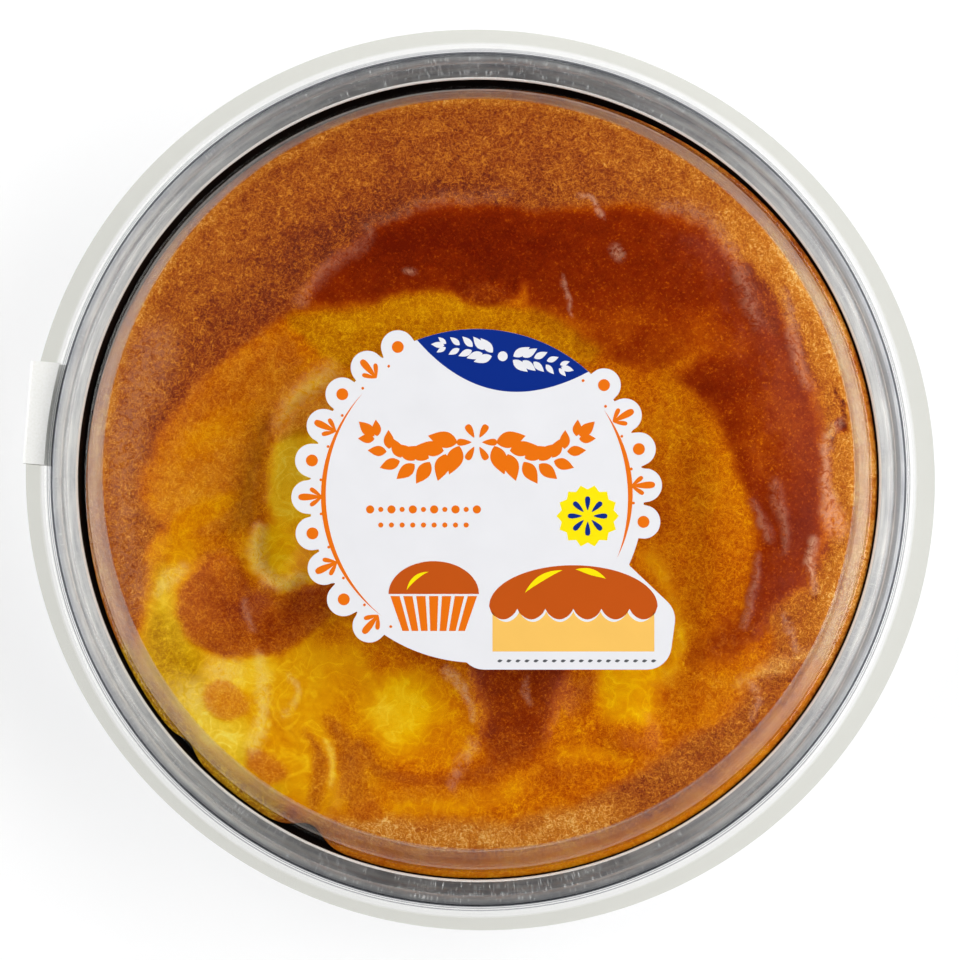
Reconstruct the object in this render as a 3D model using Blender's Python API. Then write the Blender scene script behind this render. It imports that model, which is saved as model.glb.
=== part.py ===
"""A round baked cream cake in its aluminium tray, shut under a clear lid with a label and a paper seal.

Five pieces, each one closed body: tray, cake, lid, label and seal. Lengths are in millimetres here and
become metres as the meshes are made. +Z is up, and the origin is the middle of the tray's flat base.
"""

import math

import bmesh
import bpy
import numpy as np

MM = 0.001
GAP = 0.3  # room left between pieces that touch

# Tray: pressed aluminium with sloping wall, a flat flange and a rolled bead.
TRAY_WALL = 0.5
BASE_RADIUS = 88.0
MOUTH_RADIUS = 100.0
FLANGE_HEIGHT = 36.0
BEAD_RADIUS = 1.35
BEAD_MIDDLE = 104.75
BASE_FILLET = 4.0
MOUTH_FILLET = 1.0

# Lid: clear formed sheet, pushed over the tray's bead, with a loose outer flange.
LID_WALL = 0.5
LID_HEIGHT = 62.0
LID_SHOULDER_RADIUS = 92.8
LID_SHOULDER_FILLET = 2.5
LID_FOOT_RADIUS = 97.7
LID_FOOT_HEIGHT = FLANGE_HEIGHT + GAP + LID_WALL
LID_RISE_RADIUS = 102.3
LID_SKIRT_TOP_RADIUS = 106.9
LID_SKIRT_TOP_HEIGHT = FLANGE_HEIGHT - TRAY_WALL / 2 + BEAD_RADIUS + GAP + LID_WALL
LID_SKIRT_FOOT_RADIUS = 107.9
LID_FLANGE_HEIGHT = 34.5
LID_FLANGE_RADIUS = 112.85
# The trimmed flange isn't quite round: waves of (count round the edge, size, angle of a crest).
LID_FLANGE_WAVES = ((1, 0.40, 26.0), (2, 0.66, -23.8), (3, 0.13, 14.8))

# Cake: one domed sponge with custard baked into its top.
CAKE_BASE = TRAY_WALL + GAP
CAKE_EDGE_HEIGHT = 33.0
CAKE_CROWN_HEIGHT = 48.5
CAKE_DOME_POWER = 3.2
CAKE_SHOULDER_POWER = 0.7
CAKE_WALL_GAP = 0.35
CAKE_SHRINK = 1.5  # how far the cake has drawn off the wall where it has drawn off most
CAKE_SHRINK_ANGLE = 118.0
CAKE_BASE_TUCK = 2.2
# Nicks in the cake's rim: (angle, half width, depth).
CAKE_NICKS = ((244.0, 7.0, 3.2),)
# Along the right of the rim the smooth skin has torn, and the crumb outside it lies lower.
TEAR_ANGLE = 8.0
TEAR_HALF_SPREAD = 46.0
TEAR_RADIUS = 86.5
TEAR_LAP = 5.0  # how much farther out a tongue of the skin reaches
TEAR_LAP_ANGLE = 12.0
TEAR_LAP_HALF_SPREAD = 5.0
TEAR_DROP = 1.1

# Relief of the baked top: (x, y, half length, half width, turn of the length from X, rise or sink).
SPONGE_ISLANDS = (
    (-60.0, -30.0, 12.0, 11.0, 0.0, 1.8),
    (-42.0, -29.0, 13.0, 7.5, 25.0, 1.6),
    (-62.5, -54.0, 6.5, 6.0, 0.0, 1.2),
    (-51.0, -71.0, 5.0, 7.0, 30.0, 1.0),
    (9.5, -55.0, 11.0, 12.0, 0.0, 1.6),
    (37.5, -64.0, 6.0, 6.0, 0.0, 1.0),
    (60.0, 38.0, 30.0, 16.0, -55.0, 1.4),
    (0.0, 58.0, 52.0, 9.0, 0.0, 1.3),
)
CUSTARD_POOLS = (
    (-12.0, -59.0, 17.0, 13.0, -15.0, -1.6),
    (-53.0, 0.0, 15.0, 32.0, -12.0, -1.0),
    (-20.0, 39.0, 38.0, 6.5, 8.0, -1.0),
    (46.0, -12.0, 9.5, 34.0, 0.0, -1.0),
    (38.0, -55.0, 12.0, 9.0, 0.0, -0.9),
    (-66.0, -57.0, 22.0, 12.0, -48.0, -1.1),
)

# Label: a die-cut sticker, a disc with scallops on both sides and a rounded foot at its lower right.
LABEL_THICKNESS = 0.25
LABEL_CENTRE = (-0.9, -5.4)
LABEL_RADIUS = 40.7
SCALLOP_RADIUS = 4.3
SCALLOP_ORBIT = 41.9
SCALLOP_STEP = 12.5
SCALLOP_ARCS = ((118.0, 10), (-9.0, 5))  # (first angle, count) on the left and on the right
LABEL_FOOT = ((36.0, -16.0), (48.6, -28.0), (46.6, -42.4), (-5.0, -42.4))
LABEL_FOOT_FILLET = 6.0

# Seal: a strip of paper tape folded over the lid's flange and down onto the tray's wall.
SEAL_THICKNESS = 0.3
SEAL_ANGLE = 175.6  # the way that the fold faces
SEAL_ENDS = (-20.7, 5.0)  # along the fold
SEAL_INNER_RADIUS = 108.6  # its inner edge is trimmed round, along the lid's skirt
SEAL_FOLD_REACH = 113.6
SEAL_FOLD_DROP = 2.5
SEAL_TOUCH_HEIGHT = 23.0
SEAL_LOW_HEIGHT = 13.0

TURNED_SEGMENTS = 60
BEAD_STEPS = 8
CAKE_SEGMENTS = 112
CAKE_RINGS = 20
LABEL_SEGMENTS = 150
SEAL_STATIONS = 6


def finish_material(name, colour, roughness, metallic=0.0, alpha=1.0):
    """A Principled material of one colour."""
    material = bpy.data.materials.new(name)
    material.use_nodes = True
    shader = material.node_tree.nodes["Principled BSDF"]
    shader.inputs["Base Color"].default_value = (*colour, 1.0)
    shader.inputs["Roughness"].default_value = roughness
    shader.inputs["Metallic"].default_value = metallic
    shader.inputs["Alpha"].default_value = alpha
    material.diffuse_color = (*colour, alpha)
    return material


def place(name, mesh, material, smooth_angle=35.0):
    """Turns a bmesh in millimetres into an object in metres, shaded smooth except at sharp edges."""
    bmesh.ops.recalc_face_normals(mesh, faces=mesh.faces)
    bmesh.ops.scale(mesh, vec=(MM, MM, MM), verts=mesh.verts)
    data = bpy.data.meshes.new(name)
    mesh.to_mesh(data)
    mesh.free()
    data.materials.append(material)
    data.shade_smooth()
    data.set_sharp_from_angle(angle=math.radians(smooth_angle))
    piece = bpy.data.objects.new(name, data)
    bpy.context.scene.collection.objects.link(piece)
    return piece


def level_ring(radius, angles, height):
    """A ring of points at one height; the radius is one number or one for each angle."""
    return np.column_stack((radius * np.cos(angles), radius * np.sin(angles), np.full(len(angles), height)))


def skin(rings, start=None, end=None):
    """A closed bmesh: quads between equal rings of points, each end drawn to a point or closed flat."""
    mesh = bmesh.new()
    loops = [[mesh.verts.new(point) for point in ring] for ring in rings]
    count = len(loops[0])
    for near, far in zip(loops, loops[1:]):
        for i in range(count):
            j = (i + 1) % count
            mesh.faces.new((near[i], near[j], far[j], far[i]))
    for pole, loop in ((start, loops[0]), (end, loops[-1])):
        if pole is None:
            mesh.faces.new(loop)
            continue
        middle = mesh.verts.new(pole)
        for i in range(count):
            mesh.faces.new((middle, loop[i], loop[(i + 1) % count]))
    return mesh


def arc_steps(fillet):
    """How many chords a fillet takes: one under a millimetre, four on the large ones."""
    return 1 if fillet < 0.95 else 2 if fillet < 3 else 4


def rounded(corners):
    """The line through corners of (radius, height, fillet), with an arc in place of each corner."""
    line = [np.array(corners[0][:2])]
    for before, corner, after in zip(corners, corners[1:], corners[2:]):
        tip = np.array(corner[:2])
        back = np.array(before[:2]) - tip
        ahead = np.array(after[:2]) - tip
        back /= np.linalg.norm(back)
        ahead /= np.linalg.norm(ahead)
        half = math.acos(float(back @ ahead)) / 2
        bisector = (back + ahead) / np.linalg.norm(back + ahead)
        centre = tip + bisector * corner[2] / math.sin(half)
        first = tip + back * corner[2] / math.tan(half) - centre
        last = tip + ahead * corner[2] / math.tan(half) - centre
        sweep = math.pi - 2 * half
        steps = arc_steps(corner[2])
        for step in range(steps + 1):
            share = step / steps
            arm = (math.sin((1 - share) * sweep) * first + math.sin(share * sweep) * last) / math.sin(sweep)
            line.append(centre + arm)
    line.append(np.array(corners[-1][:2]))
    return np.array(line)


def offset(line, wall):
    """The line moved by wall to its right-hand side, with mitred corners."""
    run = np.diff(line, axis=0)
    run /= np.linalg.norm(run, axis=1)[:, None]
    right = np.column_stack((run[:, 1], -run[:, 0]))
    before = np.vstack((right[:1], right))
    after = np.vstack((right, right[-1:]))
    mitre = (before + after) / (1 + np.sum(before * after, axis=1))[:, None]
    return line + wall * mitre


def turn(profile, spread=lambda radius, angles: 0.0):
    """The closed body made by carrying a profile, which starts and ends on Z, round Z."""
    angles = np.linspace(0, 2 * math.pi, TURNED_SEGMENTS, endpoint=False)
    rings = [level_ring(radius + spread(radius, angles), angles, z) for radius, z in profile[1:-1]]
    return skin(rings, (0, 0, profile[0][1]), (0, 0, profile[-1][1]))


def bead_arc():
    """The bead's round outside, from the flange's top face over to its underside."""
    hidden = math.asin(TRAY_WALL / 2 / BEAD_RADIUS)
    angles = np.linspace(math.pi - hidden, -math.pi + hidden, BEAD_STEPS + 1)
    middle = (BEAD_MIDDLE, FLANGE_HEIGHT - TRAY_WALL / 2)
    return middle + BEAD_RADIUS * np.column_stack((np.cos(angles), np.sin(angles)))


def make_tray():
    """The tray: a pressed sheet of even wall whose edge is rolled into a bead."""
    flange_end = BEAD_MIDDLE - 1.5 * BEAD_RADIUS
    inside = rounded(
        (
            (0.0, TRAY_WALL, 0),
            (BASE_RADIUS, TRAY_WALL, BASE_FILLET),
            (MOUTH_RADIUS, FLANGE_HEIGHT, MOUTH_FILLET),
            (flange_end, FLANGE_HEIGHT, 0),
        )
    )
    outside = offset(inside, TRAY_WALL)[::-1]
    profile = np.vstack((inside, bead_arc(), outside))
    aluminium = finish_material("aluminium", (0.72, 0.72, 0.73), 0.3, metallic=1.0)
    return place("tray", turn(profile), aluminium)


def flange_wave(radius, angles):
    """How far the lid's outer flange strays from round, growing from nothing at the skirt's foot."""
    share = max(0.0, (radius - LID_SKIRT_FOOT_RADIUS) / (LID_FLANGE_RADIUS - LID_SKIRT_FOOT_RADIUS))
    waves = sum(
        size * np.cos(count * (angles - math.radians(crest))) for count, size, crest in LID_FLANGE_WAVES
    )
    return share * waves


def make_lid():
    """The clear lid: flat top, rounded shoulder, steep wall, brim, skirt over the bead and outer flange."""
    top = rounded(
        (
            (0.0, LID_HEIGHT, 0),
            (LID_SHOULDER_RADIUS, LID_HEIGHT, LID_SHOULDER_FILLET),
            (LID_FOOT_RADIUS, LID_FOOT_HEIGHT, 1.0),
            (LID_RISE_RADIUS, LID_FOOT_HEIGHT, 0.4),
            (LID_RISE_RADIUS + 0.3, LID_SKIRT_TOP_HEIGHT, 0.7),
            (LID_SKIRT_TOP_RADIUS, LID_SKIRT_TOP_HEIGHT, 0.8),
            (LID_SKIRT_FOOT_RADIUS, LID_FLANGE_HEIGHT, 0.6),
            (LID_FLANGE_RADIUS, LID_FLANGE_HEIGHT, 0),
        )
    )
    profile = np.vstack((top, offset(top, LID_WALL)[::-1]))
    clear = finish_material("clear_sheet", (0.93, 0.95, 0.94), 0.05, alpha=0.25)
    return place("lid", turn(profile, spread=flange_wave), clear)


def tray_wall_radius(height):
    """The radius of the tray's inner face at a height."""
    climb = (height - TRAY_WALL) / (FLANGE_HEIGHT - TRAY_WALL)
    return BASE_RADIUS + climb * (MOUTH_RADIUS - BASE_RADIUS)


def cake_radius(height, angles):
    """The cake's side: the tray's wall less a gap that widens upwards where the cake has shrunk."""
    climb = height / CAKE_EDGE_HEIGHT
    shrink = CAKE_SHRINK * climb * (1 + np.cos(angles - math.radians(CAKE_SHRINK_ANGLE))) / 2
    arc = np.degrees(angles) * math.radians(MOUTH_RADIUS)
    nick = sum(
        depth * climb**2 * np.exp(-(((arc - middle * math.radians(MOUTH_RADIUS)) / half) ** 2))
        for middle, half, depth in CAKE_NICKS
    )
    return tray_wall_radius(height) - CAKE_WALL_GAP - shrink - nick


def swell(x, y, shape):
    """One island or pool: its full rise inside an ellipse, easing to nothing just outside it."""
    middle_x, middle_y, half_length, half_width, turned, rise = shape
    lean = math.radians(turned)
    along = ((x - middle_x) * math.cos(lean) + (y - middle_y) * math.sin(lean)) / half_length
    across = ((y - middle_y) * math.cos(lean) - (x - middle_x) * math.sin(lean)) / half_width
    inside = np.clip(1.5 - np.hypot(along, across), 0, 1)
    return rise * inside**2 * (3 - 2 * inside)


def torn_rim(radius, angles):
    """How far the crumb lies below the skin: a step where the radius passes the tear's ragged line."""
    degrees = (np.degrees(angles) + 180.0) % 360.0 - 180.0
    lap = TEAR_LAP * np.exp(-(((degrees - TEAR_LAP_ANGLE) / TEAR_LAP_HALF_SPREAD) ** 2))
    spread = np.clip(1.5 - np.abs(degrees - TEAR_ANGLE) / TEAR_HALF_SPREAD, 0, 1)
    return TEAR_DROP * spread * np.clip((radius - TEAR_RADIUS - lap) / 2.0, 0, 1)


def cake_top(share, angles):
    """Points of the top at a share of the way from its middle to its rim."""
    radius = share * cake_radius(CAKE_EDGE_HEIGHT, angles)
    x = radius * np.cos(angles)
    y = radius * np.sin(angles)
    lift = (1 - share**CAKE_DOME_POWER) ** CAKE_SHOULDER_POWER
    relief = sum(swell(x, y, shape) for shape in SPONGE_ISLANDS + CUSTARD_POOLS) - torn_rim(radius, angles)
    height = CAKE_EDGE_HEIGHT + (CAKE_CROWN_HEIGHT - CAKE_EDGE_HEIGHT) * lift + relief * (1 - share**8)
    return np.column_stack((x, y, height))


def make_cake():
    """The cake: its domed top ring by ring, then its side and its flat base."""
    angles = np.linspace(0, 2 * math.pi, CAKE_SEGMENTS, endpoint=False)
    shares = np.sin(np.linspace(0, math.pi / 2, CAKE_RINGS + 1)[1:])
    rings = [cake_top(share, angles) for share in shares]
    tucks = ((CAKE_EDGE_HEIGHT / 2, 0.0), (CAKE_BASE + BASE_FILLET, 0.0), (CAKE_BASE, CAKE_BASE_TUCK))
    rings += [level_ring(cake_radius(height, angles) - tuck, angles, height) for height, tuck in tucks]
    middle = cake_top(0.0, angles)[0]
    sponge = finish_material("baked_sponge", (0.55, 0.2, 0.03), 0.5)
    return place("cake", skin(rings, middle, (0, 0, CAKE_BASE)), sponge, smooth_angle=60.0)


def disc_reach(angles, x, y, radius):
    """The far reach of a disc at (x, y) from the label's centre along each angle, or 0 where missed."""
    orbit = math.hypot(x, y)
    off = angles - math.atan2(y, x)
    across = radius**2 - (orbit * np.sin(off)) ** 2
    hit = (across > 0) & (np.cos(off) > 0)
    return np.where(hit, orbit * np.cos(off) + np.sqrt(np.clip(across, 0, None)), 0.0)


def edge_reach(angles, start, end):
    """The reach of a straight edge from the label's centre along each angle, or 0 where it is missed."""
    run_x = end[0] - start[0]
    run_y = end[1] - start[1]
    slope = np.cos(angles) * run_y - np.sin(angles) * run_x
    slope = np.where(np.abs(slope) < 1e-9, 1e-9, slope)
    reach = (start[0] * run_y - start[1] * run_x) / slope
    share = (start[0] * np.sin(angles) - start[1] * np.cos(angles)) / slope
    hit = (reach > 0) & (share >= 0) & (share <= 1)
    return np.where(hit, reach, 0.0)


def label_reach(angles):
    """The label's outline: the farthest of its disc, its scallops and its rounded foot."""
    reach = np.full(len(angles), LABEL_RADIUS)
    for first, count in SCALLOP_ARCS:
        for i in range(count):
            angle = math.radians(first + i * SCALLOP_STEP)
            x = SCALLOP_ORBIT * math.cos(angle)
            y = SCALLOP_ORBIT * math.sin(angle)
            reach = np.maximum(reach, disc_reach(angles, x, y, SCALLOP_RADIUS))
    corners = [(*point, LABEL_FOOT_FILLET) for point in LABEL_FOOT]
    foot = rounded([(0.0, 0.0, 0), *corners, (0.0, 0.0, 0)])
    for start, end in zip(foot[1:], foot[2:-1]):
        reach = np.maximum(reach, edge_reach(angles, start, end))
    return reach


def make_label():
    """The label: a thin sheet of its outline, just clear of the lid's flat top."""
    angles = np.linspace(0, 2 * math.pi, LABEL_SEGMENTS, endpoint=False)
    reach = label_reach(angles)
    x = LABEL_CENTRE[0] + reach * np.cos(angles)
    y = LABEL_CENTRE[1] + reach * np.sin(angles)
    low = LID_HEIGHT + GAP
    high = low + LABEL_THICKNESS
    rings = [np.column_stack((x, y, np.full(LABEL_SEGMENTS, height))) for height in (high, low)]
    paper = finish_material("printed_paper", (0.9, 0.9, 0.91), 0.35)
    return place("label", skin(rings, (*LABEL_CENTRE, high), (*LABEL_CENTRE, low)), paper)


def seal_line(aside):
    """The strip's outer face at a distance aside along the fold, as (reach, height): over the lid's
    flange, round the fold and down onto the tray's round wall."""
    over = LID_FLANGE_HEIGHT + GAP + SEAL_THICKNESS
    lean = math.atan2(MOUTH_RADIUS - BASE_RADIUS, FLANGE_HEIGHT - TRAY_WALL)
    clear = (TRAY_WALL + GAP + SEAL_THICKNESS) / math.cos(lean)
    touch = tray_wall_radius(SEAL_TOUCH_HEIGHT) + clear
    low = tray_wall_radius(SEAL_LOW_HEIGHT) + clear
    return rounded(
        (
            (math.sqrt(SEAL_INNER_RADIUS**2 - aside**2), over, 0),
            (SEAL_FOLD_REACH, over, 0.8),
            (SEAL_FOLD_REACH, LID_FLANGE_HEIGHT - SEAL_FOLD_DROP, 1.5),
            (math.sqrt(touch**2 - aside**2), SEAL_TOUCH_HEIGHT, 5.0),
            (math.sqrt(low**2 - aside**2), SEAL_LOW_HEIGHT, 0),
        )
    )


def make_seal():
    """The seal: the strip's section at stations along the fold, closed at both ends."""
    facing = math.radians(SEAL_ANGLE)
    outward = np.array((math.cos(facing), math.sin(facing), 0.0))
    along = np.array((-math.sin(facing), math.cos(facing), 0.0))
    rings = []
    for aside in np.linspace(*SEAL_ENDS, SEAL_STATIONS):
        line = seal_line(aside)
        section = np.vstack((line, offset(line, SEAL_THICKNESS)[::-1]))
        rings.append([aside * along + reach * outward + (0, 0, height) for reach, height in section])
    paper_tape = finish_material("paper_tape", (0.85, 0.86, 0.83), 0.5)
    return place("seal", skin(rings), paper_tape)


def main():
    """Clears the scene and makes the five pieces."""
    for old in list(bpy.data.objects):
        bpy.data.objects.remove(old)
    make_tray()
    make_cake()
    make_lid()
    make_label()
    make_seal()


main()
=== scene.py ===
"""Looks of a baked cream cake in its aluminium tray, shut under a clear lid with a label and a paper seal.

Laid out as an add-on and run as a script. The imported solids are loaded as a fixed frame; each operator
makes one piece round them. Shapes are worked out in millimetres and become metres as a mesh is made.
"""

import functools
import math

import bpy
import numpy as np
from bpy.props import FloatProperty, IntProperty, PointerProperty, StringProperty
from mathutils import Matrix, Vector


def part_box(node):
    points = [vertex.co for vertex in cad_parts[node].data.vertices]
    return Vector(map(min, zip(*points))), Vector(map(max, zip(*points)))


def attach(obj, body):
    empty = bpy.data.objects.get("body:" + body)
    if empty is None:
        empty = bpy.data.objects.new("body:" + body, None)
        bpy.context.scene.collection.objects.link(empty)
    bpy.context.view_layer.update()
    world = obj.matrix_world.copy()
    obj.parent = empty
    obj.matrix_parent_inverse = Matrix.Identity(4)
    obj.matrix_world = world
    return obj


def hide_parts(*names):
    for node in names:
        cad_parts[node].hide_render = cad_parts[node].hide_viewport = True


bl_info = {
    "name": "Cream Cake in a Lidded Tray",
    "version": (1, 0, 0),
    "blender": (4, 5, 0),
    "location": "View3D > Sidebar > Cream Cake",
    "description": "Makes a baked cream cake, its aluminium tray, clear lid, label and seal",
    "category": "Add Mesh",
}

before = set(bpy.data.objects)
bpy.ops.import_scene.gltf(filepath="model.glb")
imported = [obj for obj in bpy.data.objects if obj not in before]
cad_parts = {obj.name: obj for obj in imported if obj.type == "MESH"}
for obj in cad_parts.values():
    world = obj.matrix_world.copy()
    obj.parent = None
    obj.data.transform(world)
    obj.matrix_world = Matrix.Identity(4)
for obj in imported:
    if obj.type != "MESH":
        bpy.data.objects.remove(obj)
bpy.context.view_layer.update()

MM = 0.001


def node_span(node):
    """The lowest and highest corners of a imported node, in millimetres."""
    low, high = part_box(node)
    return np.array(low) / MM, np.array(high) / MM


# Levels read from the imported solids.
LID_TOP = float(node_span("lid")[1][2])
CAKE_CROWN = float(node_span("cake")[1][2])
CAKE_FOOT = float(node_span("cake")[0][2])
LABEL_TOP = float(node_span("label")[1][2])

# Tray, as the solid was drawn, but for its bead, which was measured again on the photo.
TRAY_WALL = 0.5
BASE_RADIUS = 88.0
MOUTH_RADIUS = 100.0
FLANGE_HEIGHT = 36.0
BEAD_RADIUS = 1.35
BEAD_MIDDLE = 105.0
BASE_FILLET = 4.0
MOUTH_FILLET = 1.0
RING_BORDER = 0.12  # over which a marked ring of the metal fades
# Painted shade on the inside below the mouth, for the gap beside the cake: none above the first height, full
# below the second.
GAP_SHADE_TOP = 35.45
GAP_SHADE_FULL = 35.3

# Lid.
LID_WALL = 0.4
LID_SHOULDER_RADIUS = 91.9
LID_SHOULDER_FILLET = 0.4
LID_FOOT_RADIUS = 97.9
LID_FOOT_HEIGHT = 36.8
LID_RISE_RADIUS = 102.3
LID_SKIRT_TOP_RADIUS = 106.9
LID_SKIRT_TOP_HEIGHT = 37.9
LID_SKIRT_FOOT_RADIUS = 107.9
LID_FLANGE_HEIGHT = 34.5
LID_FLANGE_RADIUS = 112.85
LID_FLANGE_WAVES = ((1, 0.40, 26.0), (2, 0.66, -23.8), (3, 0.13, 14.8))  # (count, size, angle of a crest)
# Where the flange drops by a hair, outside its bright inner band.
LID_STEP_RADIUS = 109.2
LID_STEP_WIDTH = 1.2
LID_STEP_DROP = 0.1
LID_STEP_BORDER = 0.4
EDGE_TINT_RADII = (108.841, 109.474)  # where the outer flange's tint starts, and where it is full
# Thin dark rings at the skirt's folds: (radius, half width, shade).
FOLD_RINGS = ((106.2, 0.18, "#AEAFB2"), (106.8, 0.08, "#D2D3D6"), (107.4, 0.10, "#CBCCCF"))

# Cake.
CAKE_EDGE_HEIGHT = 34.6
CAKE_SWELL_ROOM = 1.4  # left under the crown for the tallest swell
CAKE_DOME_POWER = 3.2
CAKE_SHOULDER_POWER = 0.7
CAKE_RELIEF_POWER = 8  # by which the relief fades towards the edge
CAKE_WALL_GAP = 0.15
CAKE_SHRINK = 2.8
CAKE_SHRINK_ANGLE = 130.0
CAKE_SHRINK_POWER = 6
CAKE_BASE_TUCK = 2.2
CAKE_NICKS = ((244.3, 5.4, 3.6), (222.5, 4.0, 1.6))  # (angle, half length along the rim, depth)
# Rings of the side under the edge: (height, tuck inwards).
CAKE_SIDE = (
    (31.5, -0.1),
    (25.0, 0.0),
    (14.0, 0.0),
    (CAKE_FOOT + BASE_FILLET, 0.0),
    (CAKE_FOOT, CAKE_BASE_TUCK),
)
CAKE_SIDE_LOOK = {"tone": 0.34, "crust": 1.0, "cream": 0.0, "lemon": 0.0}
CRUMB_RADIUS = 97.0  # turns an angle into a length along the rim
TEAR_ANGLE = 8.0
TEAR_HALF_SPREAD = 46.0
TEAR_RADIUS = 86.5
TEAR_LAP = 5.0
TEAR_LAP_ANGLE = 12.0
TEAR_LAP_HALF_SPREAD = 5.0
TEAR_DROP = 1.1
TEAR_BORDER = 2.0
# Fine relief of the crust, and of the whole top, as layers of mottle: (rise, size, seed, octaves).
CRAGS = ((0.30, 6.0, 41, 3), (0.16, 1.9, 44, 2))
RIPPLES = ((0.30, 17.0, 51, 3), (0.06, 3.4, 54, 2))

# Label.
LABEL_CENTRE = (-0.4, -5.7)
LABEL_RADIUS = 40.7
SCALLOP_RADIUS = 4.1
SCALLOP_ORBIT = 41.1
SCALLOP_STEP = 12.5
SCALLOP_ARCS = ((118.0, 10), (-9.0, 5))  # (first angle, count) on the left and on the right
LABEL_FOOT = ((36.0, -16.0), (48.6, -28.0), (46.6, -42.4), (-5.0, -42.4))
LABEL_FOOT_FILLET = 6.0
LABEL_SHEET_TOP = LABEL_TOP - 0.25
LABEL_SHEET_LOW = LID_TOP + 0.04
INK_STEP = 0.03
INK_SINK = 0.02
INK_DEPTH = 0.93  # the darkest that the paper's clouds make an ink
# Its print, from the label's centre.
CAP_ARC = (48.0, 111.0)
CAP_SAG = 8.5
SPOT_RADIUS = 1.45
DOT_RADIUS = 0.35
DOT_ORBIT = SCALLOP_ORBIT - 2.9
FAN_ORBIT = SCALLOP_ORBIT - 3.4
FAN = ((-36.0, 3.6, 1.5), (0.0, 5.8, 2.3), (36.0, 3.6, 1.5))  # petals: (lean, length, width)
GARLAND = ((4.5, 12.5), (12.0, 8.5), (19.0, 9.0), (25.0, 14.5))
GARLAND_MIDDLE = 13.0
GARLAND_LEAVES = (7, 7.4, 4.0, 42.0)  # (pairs, length, width, lean), as for the wheat
BLOSSOM = (6, 1.3, 3.6, 2.3)  # (petals, inner radius, length, width), as for the burst's drops
ARC_RADIUS = 37.4
ARC_WIDTH = 1.2
SIDE_ARCS = ((138, 232), (-24, 34))
BEAD_ROWS = ((11, -26.0, -3.4, 1.0), (9, -23.4, -7.2, 0.62))  # (count, left, level, radius of every other)
BEAD_STEP = 2.6
SMALL_BEAD = 0.62
BURST = (27.0, -5.0)
BURST_STAR = (14, 7.6, 6.5)  # (points, outer radius, inner radius)
BURST_DROPS = (8, 1.4, 3.4, 1.7)
EAR = ((2.6, 0.0), (8.0, 0.5), (14.5, 0.0))
EAR_LEAVES = (5, 4.6, 2.1, 34.0)
EAR_KNOT_RADIUS = 1.2
EAR_ORBIT = 34.6
GLAZED_CAKE = (23.5, -27.0, 20.5, 10.0)  # (x, y, half width, height), as for the cake in a case
CASE_CAKE = (-10.5, -24.5, 11.0, 8.0)
CASE_LAP = 0.5  # how far its dome stands above the case
CASE_DROP = 8.5
CASE_TAPER = 0.72
PLEAT_COUNT = 7
PLEAT_SHARE = 0.72
DRIP_COUNT = 6
GLAZE_DRIPS = (0.6, 2.6)  # (below the dome, depth), as under the gap to the sponge
SPONGE_DRIPS = (1.3, 2.5)
SPONGE_INSET = 0.8
SPONGE_DROP = 11.0
# Shines on both: (x, y, radius, (first angle, last angle), width).
SHINES = (
    (23.5, -33.0, 15.0, (58.0, 88.0), 1.5),
    (23.5, -33.0, 15.0, (100.0, 142.0), 1.5),
    (-10.5, -25.5, 7.0, (100, 160), 1.0),
)
SEEDS = (18, 5.0, 2.2, -40.4)  # (count, left, step, level)
SEED_SIZE = (1.3, 0.7)
SEED_LEAN = 12.0

# Seal.
SEAL_ANGLE = 175.6
SEAL_ENDS = (-20.7, 5.0)
SEAL_STATIONS = 40
SEAL_INNER_RADIUS = 108.3
SEAL_FOLD_REACH = 113.6
SEAL_FOLD_DROP = 2.5
SEAL_TOUCH_HEIGHT = 23.0
SEAL_LOW_HEIGHT = 13.0
SEAL_CLEARANCE = 0.1

# Numbers, noise and outlines


def linear(code):
    """A colour written as sRGB hex, as the linear values that shaders take."""
    parts = [int(code[i : i + 2], 16) / 255 for i in (1, 3, 5)]
    return tuple(p / 12.92 if p <= 0.04045 else ((p + 0.055) / 1.055) ** 2.4 for p in parts)


def ease(value):
    """0 below 0, 1 above 1, and a smooth S between."""
    value = np.clip(value, 0, 1)
    return value * value * (3 - 2 * value)


def drift(x, y, size, seed, lattice=256):
    """Smooth random numbers from -1 to 1: a lattice of draws every size mm, eased between its points."""
    draws = np.random.default_rng(seed).uniform(-1, 1, (lattice, lattice))
    u = x / size + 1000.3
    v = y / size + 1000.7
    i = np.floor(u).astype(int)
    j = np.floor(v).astype(int)
    s, t = (way**3 * (way * (6 * way - 15) + 10) for way in (u - i, v - j))
    low, high = (
        draws[i % lattice, row % lattice] * (1 - s) + draws[(i + 1) % lattice, row % lattice] * s
        for row in (j, j + 1)
    )
    return low * (1 - t) + high * t


def mottle(x, y, size, seed, octaves=3, fade=0.55, turn=0.7):
    """Drift at size, half of size and so on, each weaker than the last and turned against it."""
    total = 0.0
    weights = fade ** np.arange(octaves)
    for step, weight in enumerate(weights):
        total = total + weight * drift(x, y, size * 0.5**step, seed + step)
        x, y = x * math.cos(turn) - y * math.sin(turn), x * math.sin(turn) + y * math.cos(turn)
    return total / weights.sum()


def arc_points(centre, first, last, count):
    """Points on a circle's arc between two arms from its centre."""
    sweep = math.acos(float(np.clip(first @ last / (np.linalg.norm(first) * np.linalg.norm(last)), -1, 1)))
    share = np.linspace(0, 1, count + 1)[:, None]
    return centre + (np.sin((1 - share) * sweep) * first + np.sin(share * sweep) * last) / math.sin(sweep)


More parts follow.
